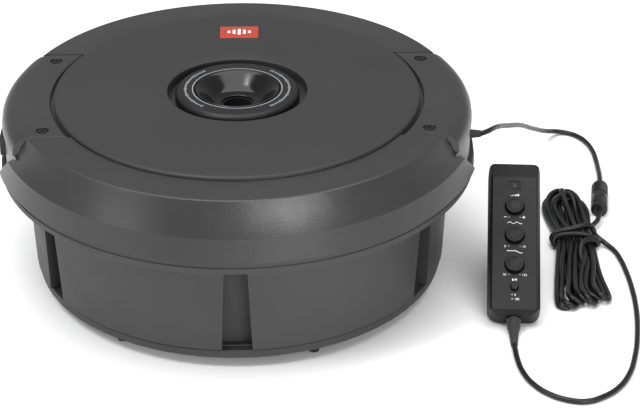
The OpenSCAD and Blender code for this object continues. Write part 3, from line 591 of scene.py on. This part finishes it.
def hank_seed():
    """A rough first lay of the loops as one list of points, before the runs push each other apart."""
    rng = np.random.default_rng(11)
    points = []
    middle = (len(LOOP_ORDER) - 1) / 2
    bend, lean, rise = 8.6, 5.2, 6.8

    def run(y, fan, upper, level):
        t = min(1.0, abs(y - WAIST) / 88)
        side = -1 if upper else 1
        x = 268.5 + (-2.0 if y > WAIST else -5.5) * t + fan * (11 + 3.2 * t) + side * (0.8 + (lean - 0.8) * t)
        z = (level - side * 2.1) * (1 - t) + (MIDDLE_Z - side * rise) * t
        return (x, y, z)

    for turn, slot in enumerate(LOOP_ORDER):
        fan = (slot - middle) / middle
        level = 6.5 if turn % 2 else 11.5
        top = TOP - 17 * rng.random() - 4 * abs(fan)
        bottom = BOTTOM + 14 * rng.random() + 3 * abs(fan)
        last_loop = turn == len(LOOP_ORDER) - 1
        start = FIRST_RUN_Y if turn == 0 else top - bend
        points += [run(y, fan, True, level) for y in np.arange(start, bottom + bend, -POINT_GAP)]
        x = run(bottom, fan, True, level)[0] + lean
        for a in np.radians((60, 20, -20, -60)):
            points.append((x - lean * math.sin(a), bottom + bend - bend * math.cos(a), MIDDLE_Z + rise * math.sin(a)))
        end = LAST_RUN_Y if last_loop else top - bend
        points += [run(y, fan, False, level) for y in np.arange(bottom + bend, end, POINT_GAP)]
        if not last_loop:
            following = (LOOP_ORDER[turn + 1] - middle) / middle
            x = run(top, fan, True, level)[0] + lean
            for a in np.radians((-60, -20, 20, 60)):
                drift = (following - fan) * 14.2 * smoothstep(a / math.pi * 1.5 + 0.5)
                across = x + drift - lean * math.sin(a)
                points.append((across, top - bend + bend * math.cos(a), MIDDLE_Z + rise * math.sin(a)))
    return np.array(points)


def waist_wrap(turns=2.6):
    """Turns of the cord round the waist, from on top of the hank to low on its right."""
    steps, points = 16, []
    for i in range(int(turns * steps)):
        a = math.pi * 0.62 - math.tau * i / steps
        c, s = math.cos(a), math.sin(a)
        flat = (abs(c) ** 3 + abs(s) ** 3) ** (-1 / 3)
        points.append((268.8 + 17.0 * c * flat, 10.5 + 4.7 * i / steps, 11.2 + 9.0 * s * flat))
    return np.array(points)


def close_pairs(p, reach):
    """Pairs of points within reach that aren't neighbours along the cord."""
    gap = np.linalg.norm(p[:, None, :] - p[None, :, :], axis=2)
    first, second = np.nonzero(np.triu(gap < reach, 4))
    return first, second


def settle_hank(route, held_first, held_last, near, rounds=900):
    """Pushes runs apart and draws out sharp bends, above the floor. Some runs still press into each other."""
    p = route.copy()
    count = len(p)
    rest = np.clip(np.linalg.norm(np.diff(p, axis=0), axis=1), 4.8, 6.6)
    free = np.ones((count, 1))
    free[:held_first] = 0
    free[count - held_last:] = 0
    for turn in range(rounds):
        if turn % 12 == 0:
            first, second = close_pairs(p, near + 4)
        settling = min(1.0, turn / (rounds * 0.6))
        mid = (p[:-2] + p[2:]) / 2 - p[1:-1]
        sharp = np.linalg.norm(mid, axis=1)
        ease = (np.clip(1 - MOST_BOW / (sharp + 1e-9), 0, 1) * 0.28 + 0.07)[:, None] * mid
        move = np.zeros_like(p)
        move[1:-1] += ease
        move[:-2] -= ease * 0.5
        move[2:] -= ease * 0.5
        span = np.diff(p, axis=0)
        size = np.linalg.norm(span, axis=1) + 1e-9
        slack = np.where(size > rest, size - rest, np.minimum(size - MOST_SQUEEZE * rest, 0))
        fix = span / size[:, None] * (slack * 0.4)[:, None]
        move[:-1] += fix
        move[1:] -= fix
        move[:, 2] -= 0.05 * (1 - settling)
        p += move * free
        for _ in range(4):
            gap = p[first] - p[second]
            distance = np.linalg.norm(gap, axis=1) + 1e-9
            push = gap / distance[:, None] * np.clip(near - distance, 0, 1.2)[:, None] * 0.4
            shove = np.zeros_like(p)
            np.add.at(shove, first, push)
            np.add.at(shove, second, -push)
            p += np.clip(shove, -MOST_SHOVE, MOST_SHOVE) * free
            keep_in(p, free[:, 0] > 0)
    return p


def keep_in(p, free):
    """Holds the points on the floor and inside the hank's own room, clear of the connector."""
    right = np.where(p[:, 1] > 56, 283.4, 286.5)
    p[free, 2] = np.clip(p[free, 2], HANK_LOW, HANK_HIGH)
    p[free, 0] = np.clip(p[free, 0], 244.2, right[free])
    p[free, 1] = np.clip(p[free, 1], -95, 111.5)


def hank_points(pitch):
    """The whole hank, from the socket's lead to the lead that leaves its waist."""
    loops, wrap = hank_seed(), waist_wrap()
    lead_in, lead_out = np.array(SOCKET_LEAD), np.array(REMOTE_LEAD[:2])
    bridge = np.linspace(loops[-1], wrap[0], 6)[1:-1]
    route = np.vstack([lead_in, loops, bridge, wrap, lead_out])
    done = settle_hank(route, 3, 2, pitch)
    return [tuple(map(float, q)) for q in done[:-2]]


# ---------------------------------------------------------------- operators


class SUB_OT_stage(Operator):
    """Floor, soft studio light and the camera"""

    bl_idname = "sub.stage"
    bl_label = "Stage"

    def execute(self, context):
        scene = context.scene
        camera = bpy.data.cameras.new("view")
        camera.lens = 123.75
        camera.sensor_width = 36
        camera.sensor_fit = "HORIZONTAL"
        camera.clip_end = 20
        viewer = bpy.data.objects.new("view", camera)
        viewer.location = Vector((36.7, -1506.1, 891.9)) * MM
        viewer.rotation_euler = (math.radians(60.797), 0, math.radians(-1))
        scene.collection.objects.link(viewer)
        scene.camera = viewer

        bm = bmesh.new()
        bmesh.ops.create_grid(bm, x_segments=1, y_segments=1, size=6)
        mesh = bpy.data.meshes.new("floor")
        bm.to_mesh(mesh)
        bm.free()
        floor = bpy.data.objects.new("floor", mesh)
        scene.collection.objects.link(floor)
        # Seamless paper: white and quite matt
        material, tree, shader = surface("studio_paper", Base_Color=linear("#fbfbfb"), Roughness=0.9)
        mesh.materials.append(material)

        scene.view_settings.view_transform = "Standard"
        world = bpy.data.worlds.new("studio")
        world.use_nodes = True
        world.node_tree.nodes["Background"].inputs["Color"].default_value = (1, 1, 1, 1)
        world.node_tree.nodes["Background"].inputs["Strength"].default_value = 0.42
        scene.world = world

        self.light(scene, "ceiling", (0, -0.1, 2.3), (0, 0, 0), (2.6, 2.4), 62)
        self.light(scene, "overhead", (-0.85, -0.75, 1.75), (0, 0, 0.14), (0.35, 0.6), 12)
        self.light(scene, "front_right", (0.8, -1.85, 0.6), (0.02, 0, 0.1), (0.95, 0.4), 19)
        self.light(scene, "front_left", (-1.6, -1.1, 0.8), (0, 0, 0.08), (0.7, 0.8), 5)
        return {"FINISHED"}

    def light(self, scene, name, at, aim, size, power):
        lamp = bpy.data.lights.new(name, "AREA")
        lamp.shape = "RECTANGLE"
        lamp.size, lamp.size_y = size
        lamp.energy = power
        item = bpy.data.objects.new(name, lamp)
        item.location = at
        item.rotation_euler = (Vector(aim) - Vector(at)).to_track_quat("-Z", "Y").to_euler()
        scene.collection.objects.link(item)


class SUB_OT_cords(Operator):
    """The unit's lead, and the remote's lead with its hank"""

    bl_idname = "sub.cords"
    bl_label = "Cords"

    def execute(self, context):
        plug = self.plug()
        socket = self.socket()
        unit = cord_curve("unit_lead", UNIT_LEAD)
        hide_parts("cord_unit_lead")
        route = hank_points(context.scene.sub_cord.pitch / MM) + REMOTE_LEAD
        lead = cord_curve("remote_lead", route)
        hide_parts("cord_socket_lead", "cord_hank", "cord_remote_lead")
        return {"FINISHED"}

    def plug(self):
        r, end = CONNECTOR_R, PLUG_L
        profile = [
            (0, -5), (2.6, -5), (3.2, -4.6), (3.4, -3.4), (3.9, -2.6), (4.3, -1.4), (4.6, -0.2), (r - 1.2, 0.2),
        ]
        profile += arc(r - 1, 1.2, 1, -90, 0, 4)
        for k in range(6):
            z = 4 + k * 1.9
            profile += [(r, z), (r - 0.55, z + 0.25), (r - 0.55, z + 0.85), (r, z + 1.1)]
        profile += [(r, end - 5), (r - 0.6, end - 4.6), (r - 0.6, end - 3.6), (r, end - 3.2)]
        profile += arc(r - 0.4, end - 0.4, 0.4, 0, 90, 3) + [(0, end)]
        bm = lathe(profile, 48, closed=False)
        return finish_mesh(bm, "plug_shell", "connector_plastic", at=CONNECTOR, replaces=("connector_plug",))

    def socket(self):
        r, start, end = CONNECTOR_R - 0.1, PLUG_L, PLUG_L + SOCKET_L
        profile = [(0, start + 0.05)] + arc(r - 0.6, start + 0.65, 0.6, -90, 0, 3)
        profile += [(r, start + 5), (r - 0.5, start + 5.4), (r - 0.5, start + 6), (r, start + 6.4)]
        for k in range(5):
            z = start + 9 + k * 2.1
            profile += [(r, z), (r - 0.5, z + 0.3), (r - 0.5, z + 0.9), (r, z + 1.2)]
        profile += arc(r - 1.4, end - 1.4, 1.4, 0, 70, 4) + [(3, end), (0, end)]
        bm = lathe(profile, 48, closed=False)
        return finish_mesh(bm, "socket_shell", "connector_plastic", at=CONNECTOR, replaces=("connector_socket",))


class SUB_OT_casing(Operator):
    """Cover, centre plate, side covers, tub and base with rounded edges"""

    bl_idname = "sub.casing"
    bl_label = "Casing"

    def execute(self, context):
        edge = context.scene.sub_unit.edge / MM
        softened("top_cover", "cover_shell", "cover_plastic", edge, angle=12, harden=False)
        softened("centre_plate", "centre_disc", "plate_plastic", edge * 0.6, angle=30)
        softened("side_cover_left", "side_cap_left", "cover_plastic", edge, angle=30)
        softened("side_cover_right", "side_cap_right", "cover_plastic", edge, angle=30)
        softened("tub", "tub_shell", "tub_plastic", edge, angle=30)
        softened("base_ring", "base_skirt", "tub_plastic", edge * 0.7, angle=30)
        return {"FINISHED"}


class SUB_OT_hub(Operator):
    """Polished funnel, hub ring, its print and the badge"""

    bl_idname = "sub.hub"
    bl_label = "Hub"

    def execute(self, context):
        self.funnel()
        self.ring()
        self.prints()
        self.badge()
        return {"FINISHED"}

    def funnel(self):
        z = HUB_TOP
        low = cad_span("hub_funnel")[0].z
        profile = [(BORE_R + 1, low), (BORE_R + 1, z - 12.9)] + arc(BORE_R + 1.8, z - 12.9, 0.8, 180, 90, 3)
        profile += [(16, z - 11.8), (18.4, z - 11), (20, z - 10), (22.6, z - 7.6), (26, z - 4.3), (29, z - 1.7)]
        profile += arc(31.2, z - 1.0, 1.0, 120, 20, 5) + [(32.25, z - 2), (30.4, z - 4), (21, z - 12.4)]
        profile += [(18, z - 13.6), (BORE_R + 3.6, z - 13.7), (BORE_R + 3.6, low)]
        finish_mesh(lathe(profile, 128), "funnel", "gloss_black", replaces=("hub_funnel",), smooth=45)

    def ring(self):
        z, r = HUB_TOP, HUB_R
        low = cad_span("hub_ring")[0].z
        profile = [(r - 3, low), (r, low), (r, z - 5)] + arc(r - 4.6, z - 5, 4.6, 8, 82, 9)
        profile += [(r - 5.2, z - 0.36), (34.2, z - 0.25)]
        profile += arc(33.3, z - 0.9, 0.7, 80, 180, 5) + [(32.6, z - 3), (r - 3, z - 3)]
        finish_mesh(lathe(profile, 160), "hub_collar", "satin_black", replaces=("hub_ring",), smooth=50)

    def prints(self):
        z = HUB_TOP - 0.25
        bm = lathe([(33.9, z - 0.05), (34.45, z - 0.05), (34.45, z + 0.06), (33.9, z + 0.06)], 128)
        for side in (0, 180):
            for k in range(-21, 22):
                a = math.radians(side + k * 2.35)
                tall = 1.5 if k % 7 else 2.6
                made = bmesh.ops.create_cube(bm, size=1)["verts"]
                bmesh.ops.scale(bm, vec=(tall, 0.65, 0.1), verts=made)
                bmesh.ops.rotate(bm, cent=(0, 0, 0), matrix=Matrix.Rotation(a, 3, "Z"), verts=made)
                bmesh.ops.translate(bm, vec=(39.6 * math.cos(a), 39.6 * math.sin(a), z), verts=made)
        finish_mesh(bm, "hub_scale_print", "satin_black", mark="hub_print")

    def badge(self):
        low, high = cad_span("badge")
        w, h = high.x - low.x, high.y - low.y
        at = (0, (low.y + high.y) / 2, (low.z + high.z) / 2)
        bm = bmesh.new()
        block(bm, (w, h, high.z - low.z), at, bevel=0.45, segments=3)
        finish_mesh(bm, "badge_plate", "badge", replaces=("badge",))
        bm = bmesh.new()
        for k, tall in enumerate((4.2, 7.4, 10.4, 7.4, 4.2)):
            block(bm, (2.3, tall, 0.3), ((k - 2) * 4.1, at[1], high.z + 0.05), bevel=0.1, segments=1)
        finish_mesh(bm, "badge_bars", "badge", mark="badge_print")


class SUB_OT_remote(Operator):
    """The remote: case, knobs, button, lens, marks and boot"""

    bl_idname = "sub.remote"
    bl_label = "Remote"

    def execute(self, context):
        softened("remote_front_shell", "remote_face", "remote_plastic", 1.3, angle=40, segments=4)
        softened("remote_back_shell", "remote_back", "remote_plastic", 1.0, angle=40, segments=3)
        softened("remote_bracket", "remote_stand", "remote_plastic", 0.4, angle=30)
        for name, y in KNOBS.items():
            self.knob(name, y, context.scene.sub_remote.flutes)
        self.button()
        self.lens()
        self.marks()
        self.boot()
        return {"FINISHED"}

    def knob(self, name, y, flutes):
        r, low, high = 7.1, FACE_Z - 2.4, FACE_Z + 3.6
        profile = [(0, low), (r - 0.3, low), (r, low + 0.4), (r, high - 0.9)]
        profile += arc(r - 0.8, high - 0.8, 0.8, 15, 90, 4)
        profile += [(r - 1.7, high - 0.05), (r - 2.4, high - 0.5), (r - 3.6, high - 0.75), (0, high - 0.8)]
        bm = lathe(profile, flutes * 4, closed=False)
        for v in bm.verts:
            radius = math.hypot(v.co.x, v.co.y)
            if radius > r - 0.25 and low + 0.3 < v.co.z < high - 0.3:
                depth = 0.16 * (1 - math.cos(math.atan2(v.co.y, v.co.x) * flutes))
                v.co.x *= 1 - depth / radius
                v.co.y *= 1 - depth / radius
        body = name + "_control"
        at = REMOTE @ Matrix.Translation((0, y, 0))
        finish_mesh(bm, "knob_cap_" + name, "knob_plastic", body, at, replaces=("knob_" + name,))
        bm = bmesh.new()
        block(bm, (0.55, 3.2, 0.5), (0, r - 2.3, high - 0.2), bevel=0.1, segments=1)
        finish_mesh(bm, "knob_pointer_" + name, "knob_plastic", body, at, mark="knob_plastic")

    def button(self):
        low, high, r = 11.2, FACE_Z + 2.6, 3.0
        profile = [(0, low), (1.4, low), (1.4, 14.8), (3.85, 14.8), (3.9, 15.0), (3.9, 15.6), (3.8, 15.8), (r, 15.8)]
        profile += arc(r - 0.8, high - 0.8, 0.8, 0, 90, 5) + [(1.2, high - 0.12), (0, high - 0.16)]
        bm = lathe(profile, 48, closed=False)
        finish_mesh(bm, "phase_cap", "knob_plastic", "phase_key", REMOTE @ Matrix.Translation((0, BUTTON_Y, 0)),
                    replaces=("phase_button",))

    def lens(self):
        bm = bmesh.new()
        block(bm, (8.4, 7.6, 0.9), (0, WINDOW_Y, FACE_Z - 0.75), bevel=0.2, segments=2)
        finish_mesh(bm, "indicator_lens", "window", at=REMOTE, replaces=("indicator_window",))
        bm = bmesh.new()
        made = bmesh.ops.create_uvsphere(bm, u_segments=24, v_segments=12, radius=1.0)["verts"]
        bmesh.ops.scale(bm, vec=(1, 1, 0.3), verts=made)
        bmesh.ops.translate(bm, vec=(0, WINDOW_Y, FACE_Z - 0.32), verts=made)
        finish_mesh(bm, "status_light", "window", at=REMOTE, mark="led")

    def marks(self):
        z = FACE_Z + 0.02
        bm = bmesh.new()

        def bar(x, y, w, h, turn=0.0):
            made = bmesh.ops.create_cube(bm, size=1)["verts"]
            bmesh.ops.scale(bm, vec=(w, h, 0.08), verts=made)
            bmesh.ops.rotate(bm, cent=(0, 0, 0), matrix=Matrix.Rotation(turn, 3, "Z"), verts=made)
            bmesh.ops.translate(bm, vec=(x, y, z), verts=made)

        # Gain: a wedge of rising bars
        for k in range(6):
            bar(-3.0 + k * 1.2, 101.0 - 0.15 * (5 - k), 0.7, 0.5 + 0.3 * k)
        # Bass: a slow wave
        for k in range(14):
            x = -5.2 + k * 0.8
            bar(x, 76.6 + 0.75 * math.sin(k * 0.9), 0.85, 0.45, 0.75 * math.cos(k * 0.9))
        # Filter: a level line that falls away
        bar(-2.6, 52.4, 6.4, 0.5)
        bar(2.3, 51.7, 3.9, 0.5, -0.5)
        bar(5.0, 50.75, 2.4, 0.5)
        # Phase: two bars of opposite ways
        bar(-1.4, 27.8, 0.6, 1.9)
        bar(1.4, 27.8, 0.6, 1.9)
        bar(0, 27.8, 2.6, 0.5, 0.6)
        # Ends of each scale
        for y in (81.6, 56.4, 32.2):
            for x in (-4.2, 4.2):
                bar(x, y, 0.5, 0.5)
        bar(-7.0, 81.6, 2.4, 0.5)
        bar(7.0, 81.6, 2.4, 0.5)
        bar(7.0, 81.6, 0.5, 2.4)
        # Two positions of the phase button
        for y in (15.2, 11.6):
            bar(-1.7, y, 0.7, 0.7)
        finish_mesh(bm, "remote_marks", "remote_plastic", at=REMOTE, mark="mark_print", smooth=20)
        numbers = [("0", -7.2, 55.4), ("10", 7.2, 55.4), ("50", -7.4, 31.2), ("125", 7.6, 31.2), ("0", 0.6, 14.3),
                   ("180", 1.9, 10.7)]
        for index, (digits, x, y) in enumerate(numbers):
            self.number(f"remote_number_{index}", digits, x, y, z)

    def number(self, name, digits, x, y, z):
        curve = bpy.data.curves.new(name, "FONT")
        curve.body = digits
        curve.size = 2.5
        curve.align_x = "CENTER"
        curve.extrude = 0.04
        curve.resolution_u = 3
        source = bpy.data.objects.new(name, curve)
        bpy.context.scene.collection.objects.link(source)
        bpy.context.view_layer.update()
        mesh = bpy.data.meshes.new_from_object(source.evaluated_get(bpy.context.evaluated_depsgraph_get()))
        bpy.data.objects.remove(source)
        bm = bmesh.new()
        bm.from_mesh(mesh)
        bpy.data.meshes.remove(mesh)
        bmesh.ops.translate(bm, vec=(x, y, z), verts=bm.verts[:])
        finish_mesh(bm, name, "remote_plastic", at=REMOTE, mark="mark_print", smooth=20)

    def boot(self):
        """Ribbed boot that bends down from the case to lie level."""
        radius, bend, out, split, rib_depth = 5.6, 28.0, 13.0, 9.0, 0.75
        a = math.radians(LEAN)
        path = [Vector((0, 2.8 - k * 1.6, split)) for k in range(4)]
        path += [Vector((0, -2 - bend * math.sin(a * k / 12), split + bend * (1 - math.cos(a * k / 12))))
                 for k in range(1, 13)]
        along = Vector((0, -math.cos(a), math.sin(a)))
        path += [path[-1] + along * (out * k / 12) for k in range(1, 13)]
        sizes = [4.0, 3.6, 3.6] + [min(radius, (REMOTE @ q).z - 0.12) - 0.08 * max(0, i - 10)
                                   for i, q in enumerate(path[3:])]
        bm = bmesh.new()
        rings = []
        for i, (point, size) in enumerate(zip(path, sizes)):
            ahead = (path[min(i + 1, len(path) - 1)] - path[max(i - 1, 0)]).normalized()
            turn = ahead.to_track_quat("Z", "X").to_matrix().to_4x4()
            groove = rib_depth if i > 3 and i % 3 == 1 else 0
            made = bmesh.ops.create_circle(bm, segments=40, radius=size - groove,
                                           matrix=Matrix.Translation(point) @ turn)
            rings.append(made["verts"])
        bm.verts.ensure_lookup_table()
        for lower, upper in zip(rings, rings[1:]):
            edges = [e for v in lower + upper for e in v.link_edges]
            ring_edges = [e for e in set(edges) if {*e.verts} <= set(lower) or {*e.verts} <= set(upper)]
            bmesh.ops.bridge_loops(bm, edges=ring_edges)
        for ring in (rings[0], rings[-1]):
            bmesh.ops.contextual_create(bm, geom=ring)
        finish_mesh(bm, "ribbed_boot", "rubber", at=REMOTE, replaces=("remote_strain_relief",), smooth=50)


class SUB_OT_driver(Operator):
    """The driver's rubber edge and its cloth spider, each made in sectors"""

    bl_idname = "sub.driver"
    bl_label = "Driver"

    def execute(self, context):
        z, thick, roll = FLANGE_Z, 1.4, 9.3
        mid = CONE_R + roll + 0.7
        profile = [(CONE_R - 5, z - thick), (CONE_R + 0.7, z - thick)]
        profile += arc(mid, z, roll - thick, 180, 0, 14)
        profile += [(mid + roll + 6, z - thick), (mid + roll + 6, z), (mid + roll, z)]
        profile += arc(mid, z, roll - 0.1, 0, 180, 14) + [(CONE_R, z), (CONE_R - 5, z)]
        self.sectors("rubber_edge", profile, "rubber", ("surround",), mid + roll - 1, CONE_R + 1, 16)
        low, high = cad_span("spider")
        inner, outer, centre = BORE_R + 19.9, high.x, (low.z + high.z) / 2
        steps = 40
        wave = [(inner + (outer - inner) * i / steps,
                 centre + 1.4 * math.sin((i - 2) * math.tau / 8) * (2 < i < steps - 2)) for i in range(steps + 1)]
        cloth = [(r, h - 0.35) for r, h in wave] + [(r, h + 0.35) for r, h in reversed(wave)]
        self.sectors("cloth_spider", cloth, "spider_cloth", ("spider",), outer - 8, inner + 3, 12)
        return {"FINISHED"}

    def sectors(self, name, profile, slot, nodes, fixed_r, moving_r, count):
        wedge = math.tau / count
        for k in range(count):
            a = k * wedge
            bm = bmesh.new()
            verts = [bm.verts.new((r * math.cos(a), r * math.sin(a), h)) for r, h in profile]
            edges = [bm.edges.new(pair) for pair in zip(verts, verts[1:] + verts[:1])]
            bmesh.ops.spin(bm, geom=verts + edges, cent=(0, 0, 0), axis=(0, 0, 1), angle=wedge, steps=6)
            piece = finish_mesh(bm, f"{name}_{k + 1:02d}", slot, body=None, replaces=nodes if k == 0 else ())
            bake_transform(piece)


PLAIN_NODES = {
    "side_cover_screws": "satin_black", "hub_tube": "tube_plastic", "hub_screws": "zinc_steel",
    "seal_ring": "foam", "cover_screws": "zinc_steel", "base_screws": "zinc_steel", "feet": "rubber",
    "driver_frame": "driver_metal", "driver_gasket": "foam", "driver_screws": "zinc_steel",
    "front_plate": "plate_steel", "magnet_ring": "ferrite", "pole_yoke": "plate_steel",
    "voice_coil": "copper", "cone": "cone_pulp", "dust_ring": "cone_pulp", "amp_board": "board_green",
    "amp_screws": "zinc_steel", "heatsink": "heatsink_aluminium", "capacitors": "capacitor_sleeve",
    "inductor": "copper", "power_socket": "socket_plastic", "fuse": "fuse_plastic", "cable_gland": "rubber",
    "shaft_gain": "zinc_steel", "shaft_bass": "zinc_steel", "shaft_filter": "zinc_steel",
    "potentiometers": "pot_metal", "phase_switch": "socket_plastic", "remote_board": "board_green",
    "remote_screws": "zinc_steel", "bracket_screws": "zinc_steel",
}


class SUB_OT_fittings(Operator):
    """Finishes the CAD nodes that keep their own shape"""

    bl_idname = "sub.fittings"
    bl_label = "Fittings"

    def execute(self, context):
        for node, slot in PLAIN_NODES.items():
            dress(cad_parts[node], slot)
        return {"FINISHED"}


OPERATORS = (SUB_OT_stage, SUB_OT_cords, SUB_OT_casing, SUB_OT_hub, SUB_OT_remote, SUB_OT_driver, SUB_OT_fittings)


class SUB_PT_panel(Panel):
    """Lists the subwoofer's steps and sizes"""

    bl_label = "Subwoofer"
    bl_idname = "SUB_PT_panel"
    bl_space_type = "VIEW_3D"
    bl_region_type = "UI"
    bl_category = "Subwoofer"

    def draw(self, context):
        for operator in OPERATORS:
            self.layout.operator(operator.bl_idname)
        for group in ("sub_unit", "sub_remote", "sub_cord"):
            box = self.layout.box()
            settings = getattr(context.scene, group)
            for name in settings.__annotations__:
                box.prop(settings, name)


CLASSES = (SubUnitProperties, SubRemoteProperties, SubCordProperties, *OPERATORS, SUB_PT_panel)


def register():
    for cls in CLASSES:
        bpy.utils.register_class(cls)
    bpy.types.Scene.sub_unit = PointerProperty(type=SubUnitProperties)
    bpy.types.Scene.sub_remote = PointerProperty(type=SubRemoteProperties)
    bpy.types.Scene.sub_cord = PointerProperty(type=SubCordProperties)


def unregister():
    for group in ("sub_unit", "sub_remote", "sub_cord"):
        delattr(bpy.types.Scene, group)
    for cls in reversed(CLASSES):
        bpy.utils.unregister_class(cls)


def main():
    register()
    make_materials()
    for operator in OPERATORS:
        group, name = operator.bl_idname.split(".")
        getattr(getattr(bpy.ops, group), name)()


if __name__ == "__main__":
    main()
